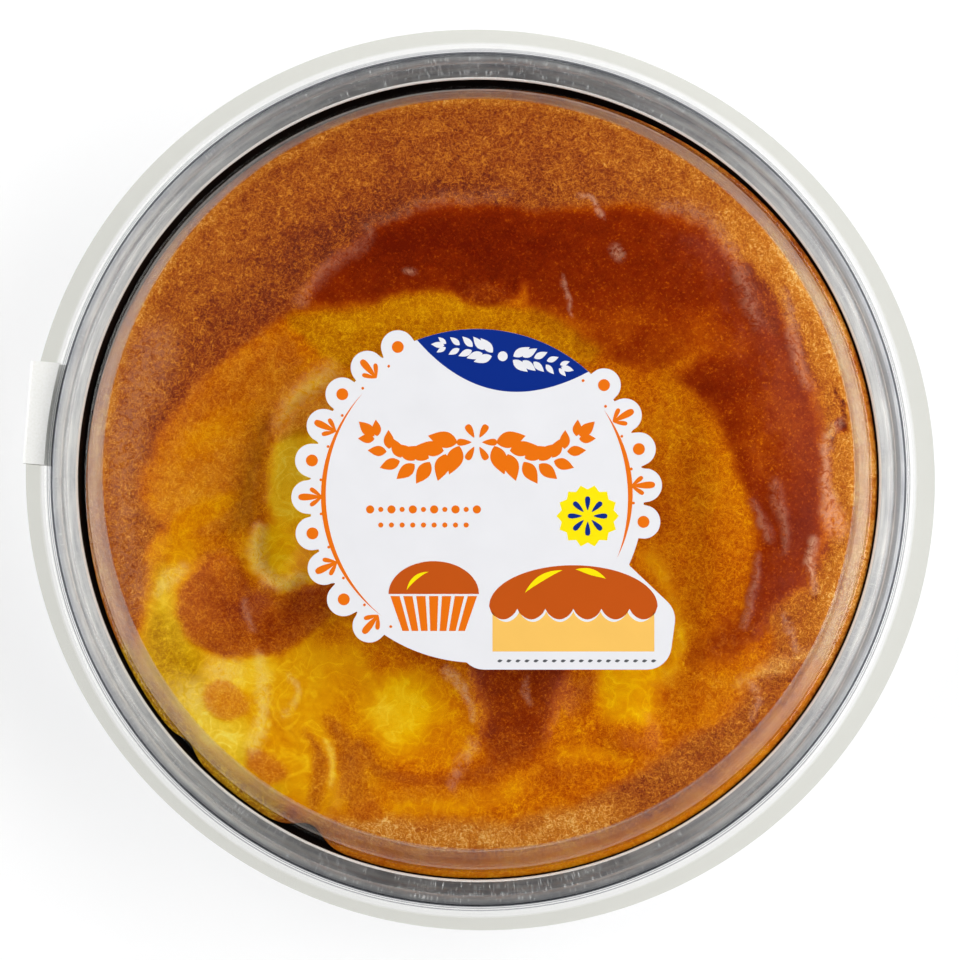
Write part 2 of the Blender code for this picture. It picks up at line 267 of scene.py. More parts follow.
def rounded(corners, steps=8):
    """The line through corners of (x, y, fillet), with an arc in place of each corner that has a fillet."""
    line = [np.array([corners[0][:2]])]
    for before, corner, after in zip(corners, corners[1:], corners[2:]):
        tip = np.array(corner[:2])
        back, ahead = (np.array(end[:2]) - tip for end in (before, after))
        back = back / np.linalg.norm(back)
        ahead = ahead / np.linalg.norm(ahead)
        half = math.acos(float(back @ ahead)) / 2
        centre = tip + (back + ahead) / np.linalg.norm(back + ahead) * corner[2] / math.sin(half)
        first = tip + back * corner[2] / math.tan(half) - centre
        last = tip + ahead * corner[2] / math.tan(half) - centre
        line.append(arc_points(centre, first, last, steps))
    line.append(np.array([corners[-1][:2]]))
    return np.vstack(line)


def offset(line, wall):
    """The line moved by wall to its right-hand side, with mitred corners."""
    run = np.diff(line, axis=0)
    run /= np.linalg.norm(run, axis=1)[:, None]
    right = np.column_stack((run[:, 1], -run[:, 0]))
    before = np.vstack((right[:1], right))
    after = np.vstack((right, right[-1:]))
    return line + wall * (before + after) / (1 + np.sum(before * after, axis=1))[:, None]


def bend(points, closed=False, steps=7):
    """A smooth (Catmull-Rom) curve through points."""
    p = np.array(points, float)
    q = np.vstack((p[-1:], p, p[:2]) if closed else (2 * p[:1] - p[1:2], p, 2 * p[-1:] - p[-2:-1]))
    t = np.linspace(0, 1, steps, endpoint=False)[None, :, None]
    a, b, c, d = (q[k : len(q) - 3 + k, None] for k in range(4))
    curve = 2 * b + (c - a) * t + (2 * a - 5 * b + 4 * c - d) * t**2 + (3 * b - a - 3 * c + d) * t**3
    curve = 0.5 * curve.reshape(-1, 2)
    return curve if closed else np.vstack((curve, p[-1:]))


# Meshes


def grid_faces(rows, columns, wrap):
    """Quads between rows of points, joined round at the ends of each row if wrap is true."""
    i = np.arange(rows - 1)[:, None] * columns
    j = np.arange(columns if wrap else columns - 1)[None, :]
    k = (j + 1) % columns
    return np.stack((i + j, i + k, i + columns + k, i + columns + j), axis=-1).reshape(-1, 4)


def enclosed(points, faces):
    """The volume inside a closed mesh: the sum of the wedges from the origin to each face, cut in a fan."""
    total = 0.0
    for width in {len(face) for face in faces}:
        group = np.array([face for face in faces if len(face) == width])
        for k in range(1, width - 1):
            a, b, c = (points[group[:, n]] for n in (0, k, k + 1))
            total += float(np.sum(a * np.cross(b, c))) / 6
    return total


def piece(name, points, faces, material, nodes=(), body="root", smooth=35.0):
    """A closed mesh object in metres, faces outwards, that rides on a body and stands for its nodes."""
    if enclosed(points, faces) < 0:
        faces = [face[::-1] for face in faces]
    mesh = bpy.data.meshes.new(name)
    mesh.from_pydata((points * MM).tolist(), [], faces)
    mesh.materials.append(material)
    mesh.shade_smooth()
    mesh.set_sharp_from_angle(angle=math.radians(smooth))
    made = bpy.data.objects.new(name, mesh)
    bpy.context.scene.collection.objects.link(made)
    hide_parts(*nodes)
    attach(made, body)
    return made


def mark(made, **layers):
    """Gives an object's points numbers by name, for its material to read."""
    for name, values in layers.items():
        layer = made.data.attributes.new(name, "FLOAT", "POINT")
        layer.data.foreach_set("value", values.astype(np.float32))


def turned(profile, segments, spread=None):
    """Points and faces of a profile carried round Z. It starts and ends on the axis; spread moves a ring's
    radius at each angle."""
    angles = np.linspace(0, 2 * math.pi, segments, endpoint=False)
    radius = profile[1:-1, :1] + (spread(profile[1:-1, :1], angles[None, :]) if spread else 0 * angles)
    height = np.broadcast_to(profile[1:-1, 1:], radius.shape)
    rings = np.stack((radius * np.cos(angles), radius * np.sin(angles), height), axis=-1)
    points = np.vstack((rings.reshape(-1, 3), (0, 0, profile[0, 1]), (0, 0, profile[-1, 1])))
    faces = grid_faces(len(rings), segments, True).tolist()
    last = (len(rings) - 1) * segments
    for i in range(segments):
        j = (i + 1) % segments
        faces += [[len(points) - 2, j, i], [len(points) - 1, last + i, last + j]]
    return points, faces


def prisms(outlines, low, tops):
    """Points and faces of flat closed outlines, each given straight sides from low to its own top."""
    points = []
    faces = []
    start = 0
    for outline, top in zip(outlines, tops):
        count = len(outline)
        points += [np.column_stack((outline, np.full(count, height))) for height in (low, top)]
        area = np.sum(outline[:, 0] * np.roll(outline[:, 1], -1) - outline[:, 1] * np.roll(outline[:, 0], -1))
        order = np.arange(count) if area > 0 else np.arange(count)[::-1]
        ahead = np.roll(order, -1)
        faces += [(start + order[::-1]).tolist(), (start + count + order).tolist()]
        faces += (np.stack((order, ahead, ahead + count, order + count), axis=-1) + start).tolist()
        start += 2 * count
    return np.vstack(points), faces


# Shaders


def add_node(tree, kind, *inputs, stops=(), **settings):
    """Adds a node of a kind, named as in Blender after "ShaderNode". Inputs go to its open sockets in order,
    and capitalised settings to the sockets they name: a hex code becomes a colour, and a node or socket is
    linked. Other settings are the node's own, and stops are a colour ramp's, as (place, hex code)."""
    node = tree.nodes.new("ShaderNode" + kind)
    for key in [key for key in settings if key[0].islower()]:
        setattr(node, key, settings.pop(key))
    for _ in stops[2:]:
        node.color_ramp.elements.new(0.5)
    for k, (place, code) in enumerate(stops):
        node.color_ramp.elements[k].position = place
        node.color_ramp.elements[k].color = (*linear(code), 1.0)
    targets = [*zip([socket for socket in node.inputs if socket.enabled], inputs)]
    targets += [(node.inputs[key.replace("_", " ")], value) for key, value in settings.items()]
    for socket, value in targets:
        if isinstance(value, bpy.types.Node):
            value = next(output for output in value.outputs if output.enabled)
        if isinstance(value, bpy.types.NodeSocket):
            tree.links.new(value, socket)
        else:
            socket.default_value = (*linear(value), 1.0) if isinstance(value, str) else value
    return node


def cleared(owner):
    """Empties the nodes of a material or world, and returns the function that adds nodes to it."""
    owner.use_nodes = True
    owner.node_tree.nodes.clear()
    return functools.partial(add_node, owner.node_tree)


def per_mm(size):
    """A texture's scale on object coordinates, in metres, for features of a size in millimetres."""
    return 1 / (size * MM)


# Tray


def aluminium_material(settings):
    """Rolled aluminium, pressed: fine rings run round it, so it spreads light along its radius, and
    handling has left short scratches. The inside below the mouth is painted nearly black, as shade in the
    narrow gap beside the cake; the mouth's edge is painted as a matt white highlight, and the bead's inner
    slope is painted darker on the right, as shade."""
    material = bpy.data.materials.new("rolled_aluminium")
    node = cleared(material)
    where = node("TexCoord").outputs["Object"]
    place = node("SeparateXYZ", where).outputs
    radius = node("VectorMath", node("CombineXYZ", place["X"], place["Y"]), operation="LENGTH")
    # Rings: noise along the section alone, about 0.5 mm apart.
    section = node("Math", radius, place["Z"], operation="ADD")
    rings = node("TexNoise", node("CombineXYZ", section), per_mm(0.9), 2.0)
    rings = node("MapRange", rings, 0.32, 0.68)
    # Short scratches across the rings, and longer rubbed streaks along them.
    angle = node("Math", place["Y"], place["X"], operation="ARCTAN2")
    along = node("CombineXYZ", angle, section)
    scratches = node("TexNoise", node("Mapping", along, Scale=(400.0, per_mm(2.2), 1.0)), 1.0, 0.0)
    scratches = node("MapRange", scratches, 0.63, 0.74)
    rubs = node("TexNoise", node("Mapping", along, Scale=(9.0, per_mm(1.5), 1.0)), 1.0, 3.0)
    rubs = node("MapRange", rubs, 0.35, 0.65)

    def ring(inner, outer):
        """1 between two radii and 0 away from them, with a soft border on both sides."""
        rise = node("MapRange", radius, (inner - RING_BORDER) * MM, inner * MM)
        fall = node("MapRange", radius, (outer + RING_BORDER) * MM, outer * MM)
        return node("Math", rise, fall, operation="MULTIPLY")

    # The mouth's edge is painted matt white as a highlight. The bead's inner slope is scuffed, and
    # painted darker on the right as shade.
    side = node("MapRange", node("Math", place["X"], radius, operation="DIVIDE"), 0.75)
    bead = ring(BEAD_MIDDLE - 1.3, BEAD_MIDDLE + 0.4)
    bead_shade = node("Math", ring(BEAD_MIDDLE - 0.9, BEAD_MIDDLE), side, operation="MULTIPLY")
    # A thin ring at the mouth's edge, painted matt white as a highlight.
    mouth = ring(MOUTH_RADIUS - 0.2, MOUTH_RADIUS + 0.32)
    # The inside below the mouth is painted nearly black: painted shade in the narrow gap beside the cake.
    inside = node("Attribute", attribute_name="inside").outputs["Fac"]
    below = node("MapRange", place["Z"], GAP_SHADE_TOP * MM, GAP_SHADE_FULL * MM)
    gap_shade = node("Math", inside, below, operation="MULTIPLY")
    worn = node("Math", rings, 0.5, node("Math", rubs, 0.5, operation="MULTIPLY"), operation="MULTIPLY_ADD")
    colour = settings.dark
    for share, code in (
        (worn, settings.light),
        (scratches, settings.scratch),
        (bead_shade, settings.bead_shade),
        (mouth, settings.mouth),
        (gap_shade, settings.gap_shade),
    ):
        colour = node("Mix", share, colour, code, data_type="RGBA")
    matt = node("Math", bead, 0.14, mouth, operation="MULTIPLY_ADD")
    bare = node("Math", scratches, -0.16, 1.0, operation="MULTIPLY_ADD")
    rough = node("MapRange", node("TexNoise", where, per_mm(14.0), 3.0), 0.3, 0.7, 0.48, 0.62)
    shader = node(
        "BsdfPrincipled",
        Base_Color=colour,
        Metallic=node("Math", bare, matt, operation="SUBTRACT"),
        Roughness=node("Math", scratches, 0.3, rough, operation="MULTIPLY_ADD"),
        Anisotropic=0.85,
        Anisotropic_Rotation=0.25,
        Normal=node("Bump", Height=rings, Strength=0.25, Distance=0.06 * MM),
        Tangent=node("Tangent", direction_type="RADIAL", axis="Z"),
    )
    node("OutputMaterial", shader)
    return material


def tray_profile():
    """The tray's section: in along the base, up the wall, over the flange and bead, and back outside. Also
    how many of its points lie inside the tray."""
    inside = rounded(
        (
            (0.0, TRAY_WALL, 0),
            (BASE_RADIUS, TRAY_WALL, BASE_FILLET),
            (MOUTH_RADIUS, FLANGE_HEIGHT, MOUTH_FILLET),
            (BEAD_MIDDLE - 1.5 * BEAD_RADIUS, FLANGE_HEIGHT, 0),
        )
    )
    hidden = math.asin(TRAY_WALL / 2 / BEAD_RADIUS)
    turn = np.linspace(math.pi - hidden, hidden - math.pi, 25)
    bead = np.column_stack((np.cos(turn), np.sin(turn))) * BEAD_RADIUS
    bead += (BEAD_MIDDLE, FLANGE_HEIGHT - TRAY_WALL / 2)
    return np.vstack((inside, bead, offset(inside, TRAY_WALL)[::-1])), len(inside)


class TraySettings(bpy.types.PropertyGroup):
    """What a user may change on the tray."""

    segments: IntProperty(name="Segments", description="Facets round the tray", default=320)
    light: StringProperty(name="Light metal", description="Bright aluminium, sRGB", default="#FFFFFF")
    dark: StringProperty(name="Dark metal", description="Dull aluminium, sRGB", default="#C6C8D0")
    scratch: StringProperty(name="Scratches", description="Freshly scratched metal, sRGB", default="#F2F3F5")
    # The right of the bead's inner slope is painted in this darker colour, as shade.
    bead_shade: StringProperty(name="Dull metal", description="The bead's slope, sRGB", default="#B4B6BC")
    # A painted highlight: the mouth's edge in matt white.
    mouth: StringProperty(name="Rubbed edge", description="The mouth's edge, sRGB", default="#FFFFFF")
    # Painted shade for the gap between the cake and the tray's inside.
    gap_shade: StringProperty(name="Stain", description="Baked-on stain, sRGB", default="#1E140C")


class CREAMCAKE_OT_tray(bpy.types.Operator):
    """Makes the pressed aluminium tray"""

    bl_idname = "creamcake.tray"
    bl_label = "Tray"

    def execute(self, context):
        settings = context.scene.creamcake_tray
        profile, inside = tray_profile()
        points, faces = turned(profile, settings.segments)
        made = piece("tray_shell", points, faces, aluminium_material(settings), ("tray",))
        rings = np.repeat(np.arange(1, len(profile) - 1) < inside, settings.segments)
        mark(made, inside=np.append(rings, (1.0, 0.0)))
        return {"FINISHED"}


# Cake


def tray_wall_radius(height):
    """The radius of the tray's inner face at a height."""
    climb = (height - TRAY_WALL) / (FLANGE_HEIGHT - TRAY_WALL)
    return BASE_RADIUS + climb * (MOUTH_RADIUS - BASE_RADIUS)


def cake_radius(height, angles):
    """The cake's side: the tray's wall less a gap that widens upwards where the cake has shrunk or has a
    nick, each a bell curve along the rim."""
    climb = height / CAKE_EDGE_HEIGHT
    away = np.cos((angles - math.radians(CAKE_SHRINK_ANGLE)) / 2)
    shrink = CAKE_SHRINK * climb * away**CAKE_SHRINK_POWER
    degree = math.radians(MOUTH_RADIUS)  # its length along the rim
    arc = (np.degrees(angles) % 360) * degree
    for middle, half, depth in CAKE_NICKS:
        shrink = shrink + depth * climb**2 * np.exp(-(((arc - middle * degree) / half) ** 2))
    return tray_wall_radius(height) - CAKE_WALL_GAP - shrink


def oval(x, y, half_length, half_width, turn=0.0, **look):
    """A stroke in the shape of an ellipse."""
    return "oval", (x, y, half_length, half_width, turn), look


def patch(points, **look):
    """A stroke inside a smooth closed outline."""
    return "patch", points, look


def fold(points, widths, **look):
    """A stroke along a smooth line, with its half widths from one end to the other."""
    return "fold", (points, widths), look


def oval_share(x, y, middle_x, middle_y, half_length, half_width, turn):
    """How far out each point lies in an ellipse: 0 at its middle and 1 on its edge."""
    lean = math.radians(turn)
    along = ((x - middle_x) * math.cos(lean) + (y - middle_y) * math.sin(lean)) / half_length
    across = ((y - middle_y) * math.cos(lean) - (x - middle_x) * math.sin(lean)) / half_width
    return np.hypot(along, across)


def stroke_distance(x, y, shape, data):
    """How far outside a stroke each point lies, in millimetres, and negative inside it. A point is inside an
    outline if a line from it towards +X crosses the outline an odd number of times."""
    if shape == "oval":
        return (oval_share(x, y, *data) - 1) * min(data[2:4])
    closed = shape == "patch"
    points, widths = (data, None) if closed else data
    line = bend(points, closed)
    if closed:
        line = np.vstack((line, line[:1]))
    nearest = np.full(x.shape, np.inf)
    inside = np.zeros(x.shape, bool)
    last = len(line) - 1
    for k, (start, end) in enumerate(zip(line, line[1:])):
        run = end - start
        along = np.clip(((x - start[0]) * run[0] + (y - start[1]) * run[1]) / (run @ run + 1e-12), 0, 1)
        away = np.hypot(x - start[0] - along * run[0], y - start[1] - along * run[1])
        if closed:
            crosses = (start[1] > y) != (end[1] > y)
            inside ^= crosses & (x < start[0] + (y - start[1]) / (run[1] or 1e-12) * run[0])
        else:
            away = away - np.interp((k + along) / last, np.linspace(0, 1, len(widths)), widths)
        nearest = np.minimum(nearest, away)
    return np.where(inside, -nearest, nearest)


# The baked top, stroke over stroke from the first to the last. Each stroke draws the surface towards its
# tone (0 is nearly black caramel, 1 is bright custard), crust (0 glazed, 1 rough), cream (a painted sheen:
# pale colour that stands in for highlights on moist folds and ridges) and lemon (greener custard), softly
# over a border of soft mm, and lifts it by rise mm. A few strokes also paint light and shade into the
# tone, where marked below.
STROKES = (
    # The sponge's crust, lighter and darker by turns, with a painted sheen along its left edge.
    oval(0, 0, 104, 104, tone=0.44, crust=1),
    fold([(-70, 52), (-52, 70), (-28, 83), (0, 86), (28, 82), (52, 69)], (5, 7, 8, 7, 5), tone=0.42, soft=6),
    oval(-2, 86, 18, 7, tone=0.36, soft=6),
    oval(48, 76, 15, 6, -35, tone=0.5, soft=5),
    fold([(-74, 28), (-62, 38), (-48, 54), (-34, 64), (-14, 72), (8, 74), (30, 75)], (4, 6, 7, 6, 5, 3),
        tone=0.27, soft=6),
    fold([(-80, 34), (-87, 14), (-88, -8), (-86, -28)], (5, 5, 3, 3), tone=0.48, cream=0.16, soft=5),
    fold([(62, 66), (74, 54), (84, 36), (89, 18), (90, 0), (89, -20), (84, -36)], (4, 5, 5, 4, 4, 4, 4),
        tone=0.62, soft=5),
    fold([(80, -42), (68, -58), (52, -70), (34, -80)], (4, 6, 6, 5), tone=0.42, soft=5),
    fold([(30, -84), (6, -88), (-20, -87), (-40, -82)], (5, 5, 5, 4), tone=0.74, soft=5),
    # Its rim against the tray, painted lighter to stand in for the light on its steep edge.
    fold([(-73, 62), (-86, 42), (-94, 16), (-96, -8), (-93, -26), (-86, -44)], (1, 1.5, 2, 2, 2, 1),
        tone=0.76, soft=2.5),
    fold([(-73, 62), (-54, 78), (-28, 92), (0, 96), (28, 92), (54, 80), (72, 64)],
        (1, 1.5, 1.5, 1.5, 1.5, 2, 1), tone=0.62, soft=2),
    fold([(72, 64), (84, 47), (93, 24), (96, 0), (93, -24), (84, -46)], (1.5, 2, 2.5, 2.5, 2.5, 2), tone=0.9,
        soft=2.5),
    fold([(84, -46), (66, -70), (40, -88), (0, -97), (-36, -90)], (2, 3, 3, 3, 1), tone=0.63, crust=0.3,
        soft=2),
    # The glazed field, and an amber rim at its upper left.
    patch([(-46, 44), (-40, 51), (-33, 58), (-22, 64), (-10, 69), (2, 68), (14, 67), (34, 69), (45, 67),
        (56, 63), (66, 52), (73, 44), (79, 34), (84, 20), (86, 6), (87, -10), (83, -24), (77, -35), (72, -43),
        (60, -58), (46, -66), (32, -76), (10, -83), (-20, -83), (-45, -81), (-62, -70), (-78, -52),
        (-84, -40), (-81, -26), (-77, -12), (-84, -4), (-81, 7), (-75, 18), (-66, 28), (-56, 36)], tone=0.55,
        crust=0, cream=0, soft=3),
    fold([(-82, 8), (-74, 22), (-63, 33), (-51, 42.5), (-43, 45)], (1, 2.5, 3, 3, 1.5), tone=0.27, crust=0.8,
        soft=3),
    # Dark caramel over the top and down the right.
    patch([(-42, 45), (-33, 57), (-20, 64), (-8, 68), (14, 67), (34, 68), (46, 66), (56, 62), (65, 52),
        (73, 43), (79, 32), (84, 14), (85, -2), (83, -16), (80, -26), (72, -34), (66, -38), (67, -26),
        (69, -14), (66, -2), (62, 10), (57, 19), (46, 27), (38, 30), (24, 36), (12, 43), (0, 46), (-14, 46.5),
        (-28, 44)], tone=0.18, crust=0.18, soft=2.4, rise=0.3),
    oval(-8, 59, 24, 8, 4, tone=0.03, soft=8),
    oval(50, 46, 24, 14, -40, tone=0.17, soft=8),
    fold([(42, 28), (50, 36), (58, 35), (66, 33)], (3, 5, 4, 2), tone=0.36, soft=6),
    oval(36, 38, 9, 6, tone=0.33, soft=6),
    oval(79, -8, 4, 12, tone=0.16, soft=6),
    oval(74, -26, 5, 9, tone=0.24, soft=5),
    oval(73, 14, 9, 14, tone=0.29, soft=6),
    # Custard between the caramel and the label.
    patch([(-47, 41), (-40, 42), (-28, 43.5), (-17, 45.5), (-8, 46), (0, 44), (8, 43), (17, 41), (24, 37),
        (30, 32), (20, 28), (-30, 28), (-44, 36)], tone=0.54, crust=0, lemon=0.45, soft=1.6, rise=-0.5),
    fold([(-30, 39), (-20, 41), (-8, 42.5), (2, 42)], (2, 2.5, 2.5, 2), tone=0.6, soft=3),
    fold([(14, 41), (22, 38), (28, 33)], (2, 2.5, 2), tone=0.46, soft=4),
    oval(2.5, 46.5, 6, 3.2, -8, tone=0.26, crust=0.4, lemon=0, soft=1.6, rise=0.4),
    fold([(8, 42), (11, 46), (11.5, 49)], (2, 1.5, 0.8), tone=0.52, soft=2),
    fold([(41, 18), (45, 24), (50, 29), (56, 33)], (2.5, 2.5, 1.5, 0.5), tone=0.6, soft=3.5),
    # Amber and yellow custard left of the label, with a pale lip under a painted highlight, and a fleck
    # of sponge.
    patch([(-56, 34), (-47, 37), (-44, 26), (-52, 12), (-54, -6), (-60, -16), (-74, -14), (-82, -4), (-80, 7),
        (-73, 18), (-65, 27)], tone=0.56, crust=0.42, lemon=0.05, soft=3),
    fold([(-76, 12), (-68, 18), (-60, 24), (-54, 30)], (2, 4, 4, 2), tone=0.52, soft=4),
    fold([(-54, 14), (-56, 2), (-57, -8), (-60, -14)], (2, 3, 3.5, 2), tone=0.44, lemon=0.4, soft=4,
        rise=-0.4),
    oval(-71, -5, 8, 7, tone=0.68, soft=5),
    oval(-66, 12, 9, 3.5, 30, tone=0.63, crust=0.15, soft=4),
    oval(-42, 36, 7, 4, 10, tone=0.54, soft=3),
    oval(-47, 29.5, 5, 1.5, -8, tone=0.48, soft=2),
    patch([(-50, 10), (-42, 13), (-36, 14), (-36, -12), (-44, -14), (-51, -10), (-52, 0)], tone=0.86,
        lemon=0.5, soft=2, rise=0.3),
    oval(-45, -8, 4, 7, tone=0.9, lemon=0.2, soft=4),
    fold([(-50, 14), (-46, 20), (-41, 24), (-37, 27)], (1, 2, 2.5, 2), tone=0.74, cream=0.25, soft=2.5,
        rise=0.5),
    patch([(-50, 10), (-48.5, 14), (-45, 17.5), (-40, 20), (-34, 22), (-32, 18), (-38, 15), (-43, 13),
        (-47, 10.5)], tone=0.7, crust=0.5, soft=1, rise=0.4),
    # Bright custard at the lower left, olive towards its edge.
    patch([(-77, -12), (-66, -16), (-50, -12), (-38, -14), (-30, -40), (-24, -50), (-20, -66), (-30, -80),
        (-45, -81), (-62, -70), (-78, -52), (-84, -40), (-82, -26)], tone=0.74, crust=0, lemon=0.15,
        soft=2.5),
    fold([(-79, -22), (-78, -33), (-76, -42), (-73, -50), (-67, -58), (-60, -66), (-52, -75)],
        (1, 3, 7, 7, 5, 4.5, 3), lemon=1, soft=4),
    patch([(-81, -33), (-76, -35), (-71, -40), (-68, -45), (-70, -50), (-76, -51), (-81, -44)], tone=0.58,
        lemon=1, soft=3),
    oval(-71, -53, 5, 3, -50, tone=0.8, cream=0.25, soft=3),
    fold([(-88, -42), (-82, -53), (-74, -63), (-64, -73), (-52, -81)], (2.5, 3, 3, 3, 2.5), tone=0.62,
        lemon=1, soft=3),
    oval(-57, -47, 8, 3.5, tone=0.92, lemon=0.3, soft=3),
    oval(-64, -62, 9, 5, -48, tone=0.88, soft=4),
    oval(-44, -40, 9, 4, -30, tone=0.75, soft=3),
    oval(-36, -38, 5, 4, tone=0.58, soft=3),
    # Its crescent, painted highlights and swirl.
    fold([(-82, -27), (-79, -18), (-73, -11), (-66, -6.5), (-60, -4)], (1.2, 2.8, 3.2, 2.6, 1.2), tone=0.64,
        crust=0, soft=1.6),
    oval(-79, -11.5, 2, 1.6, tone=0.44, soft=1),
    fold([(-80, -28), (-77, -24), (-73, -21)], (0.8, 2, 1), tone=0.78, cream=0.3, soft=1.6),
    oval(-63, -47, 3.5, 3, tone=0.9, cream=0.3, soft=3),
    oval(-50, -18, 6, 7, tone=0.88, lemon=0, soft=2, rise=-0.3),
    # Islands of sponge in it.
    patch([(-74.5, -32), (-73.5, -27), (-70, -22.5), (-65, -18.5), (-59, -18.5), (-56, -25), (-51, -28.7),
        (-47, -28.3), (-43, -26.6), (-36, -24), (-34, -29), (-38, -34.5), (-43, -39), (-49, -42.3),
        (-56, -43.8), (-63, -43), (-69, -40), (-73, -36.5)], tone=0.46, crust=0.5, lemon=0, soft=1.3,
        rise=0.6),
    oval(-63, -18, 6, 3.5, tone=0.52, crust=0.25, soft=4),
    oval(-58, -33, 8, 6.5, tone=0.36, soft=5),
    fold([(-52, -37), (-48, -34.5), (-44, -31), (-40, -28.5), (-36, -26.5)], (3, 4, 3.5, 2, 1), tone=0.33,
        crust=0.45, soft=3),
    fold([(-51.5, -27), (-51, -31), (-49.5, -35)], (2, 1.2, 0.4), tone=0.5, crust=0.5, soft=2),
    fold([(-57, -29), (-56, -33), (-55.5, -37)], (0.4, 0.9, 0.4), cream=0.26, soft=1, rise=0.2),
    fold([(-54, -12), (-54.5, -18), (-52, -23.5), (-48, -25.8), (-43, -24)], (0.8, 1.2, 1.4, 1.2, 0.6),
        tone=0.8, cream=0.45, soft=1.8, rise=0.5),
    oval(-62.5, -54.3, 5.8, 4.6, -25, tone=0.72, crust=0.4, lemon=0, soft=0.9, rise=0.3),
    # Buttons, drips and stripes below the islands.
    oval(-49, -53, 4.5, 4.5, tone=0.8, soft=1.5, rise=0.3),
    fold([(-47, -48.5), (-45, -51), (-45.2, -55), (-48, -57.5)], (0.4, 0.6, 0.5, 0.3), cream=0.3, soft=1),
    fold([(-54, -44), (-53.5, -54), (-54, -61), (-55, -66)], (0.8, 1.2, 1.4, 1), tone=0.9, cream=0.35, soft=2,
        rise=0.3),
    patch([(-56, -67), (-52, -66.5), (-49, -69), (-47, -72), (-49, -75), (-53, -75.5), (-57, -71)], tone=0.62,
        crust=0.4, lemon=0, soft=1.4, rise=0.3),
    fold([(-42, -62), (-40, -68), (-40, -74), (-41, -80)], (0.6, 1.8, 2.2, 1.6), tone=0.54, crust=0.5,
        soft=1.6),
    fold([(-36, -59), (-33, -67), (-31, -74), (-28, -81)], (1.2, 2.8, 3.6, 3.4), tone=0.48, crust=0.5,
        soft=1.8),
    fold([(-38, -64), (-36.6, -70), (-36.8, -76)], (0.3, 0.6, 0.4), tone=0.9, cream=0.2, soft=1),
    # The pool below the label, and the amber under it.
    oval(-13, -60, 17.5, 14, -10, tone=0.6, soft=2.5),
    oval(-30, -57, 5, 6, tone=0.6, soft=5),
    oval(-18.5, -56.5, 9, 9, -20, tone=0.92, soft=5),
    oval(-6, -64, 6, 5, -30, tone=0.66, soft=4),
    fold([(-30, -66), (-24, -71.5), (-12, -74.5), (0, -72.5), (9, -68.5), (15, -64)],
        (1.5, 2, 2, 2.4, 2.4, 1.5), tone=0.4, crust=0.5, soft=2.5, rise=0.3),
    fold([(-20, -80), (-8, -80), (0, -78.5), (10, -74.5), (18, -69.5), (26, -67), (36, -68.5)],
        (2, 2, 2.2, 2, 1.8, 1.5, 0.8), tone=0.73, soft=2.5, rise=-0.2),
    oval(-12, -77, 16, 2.2, tone=0.6, crust=0.3, soft=3),
    # Islands and custard under the label's foot.
    patch([(-1, -44), (1, -52), (2, -58), (2, -64), (6, -66.5), (12, -65.5), (17, -61), (19, -54), (20, -44)],
        tone=0.25, crust=0.4, soft=2, rise=0.3),
    oval(8, -66, 6, 3, tone=0.32, crust=0.5, soft=4),
    fold([(12.5, -48), (12, -51), (13, -55)], (0.3, 0.8, 0.3), cream=0.35, soft=1),
    oval(26, -52, 3, 6, -8, tone=0.48, crust=0.4, soft=2.5),
    patch([(30, -44), (46, -44), (46, -52), (43, -59), (36, -59), (31, -57)], tone=0.79, soft=3),
    oval(37.5, -63.3, 6, 3.3, -5, tone=0.46, crust=0.4, soft=2.5, rise=0.2),
    oval(20, -72.5, 8, 3.2, 5, tone=0.48, crust=0.35, soft=4),
    # Amber custard on the right.
    patch([(46, -46), (58, -46), (66, -50), (58, -58), (46, -65), (40, -70), (44, -60)], tone=0.55,
        crust=0.25, soft=4),
    patch([(41, 22), (50, 20), (57, 12), (61, 2), (66, -8), (66, -22), (62, -34), (54, -40), (47, -46),
        (44, -30), (40, -18)], tone=0.53, crust=0.15, soft=3),
    oval(46, 14, 6, 5, tone=0.6, soft=4),
    fold([(42, -18), (46, -24), (49, -31), (49, -40), (46, -48)], (2, 2.5, 2, 2, 2), tone=0.76, soft=3),
    oval(43, -3, 3, 7, tone=0.42, soft=3),
    oval(60, -4, 4, 9, 10, tone=0.58, soft=4),
    oval(55, -24, 6, 10, tone=0.51, soft=4),
    fold([(66, -36), (60, -40), (54, -43)], (4, 4, 2.5), tone=0.32, crust=0.3, soft=4),
    # The lower right: a crease, crumb and a torn patch.
    fold([(64, -50), (70, -47), (76, -45), (84, -42)], (0.8, 1.3, 1.2, 0.8), tone=0.72, cream=0.15, soft=2,
        rise=0.6),
    patch([(72, -34), (80, -28), (86, -30), (83, -40), (76, -43)], tone=0.48, crust=0.9, soft=2.5),
    oval(73, -52, 4, 3, tone=0.42, crust=0.8, soft=2, rise=-0.3),
    # Ridges in the caramel, with painted highlights along them.
    fold([(-44, 45), (-40, 50), (-34, 56), (-28, 60), (-28, 63)], (0.8, 1, 0.8, 0.5, 0.2), cream=0.2,
        soft=2.4, rise=0.7),
    fold([(-26, 64), (-17, 68), (-10, 70), (0, 70.5), (8, 71.5)], (0.2, 0.7, 0.9, 0.5, 0.2), cream=0.14,
        soft=2.2, rise=0.5),
    fold([(46, 68), (54, 67), (60, 61), (64, 55), (65.5, 50), (67, 44), (69, 39)],
        (0.4, 1, 1, 0.9, 1.2, 1, 0.4), cream=0.24, soft=2.8, rise=0.8),
    patch([(66, 54), (71, 51), (74, 45), (75, 38), (73, 36), (70, 40), (67, 47)], tone=0.16, crust=0.5,
        soft=1.5, rise=-0.3),
    fold([(77, 47), (78.2, 40), (78.2, 35), (80, 29), (82, 23)], (0.5, 1, 0.9, 1, 0.4), cream=0.34, soft=2,
        rise=0.8),
    # The torn rim on the right, with its tongue and lip. The tear's line and its crack are painted dark
    # as shade, and the lip carries a painted highlight.
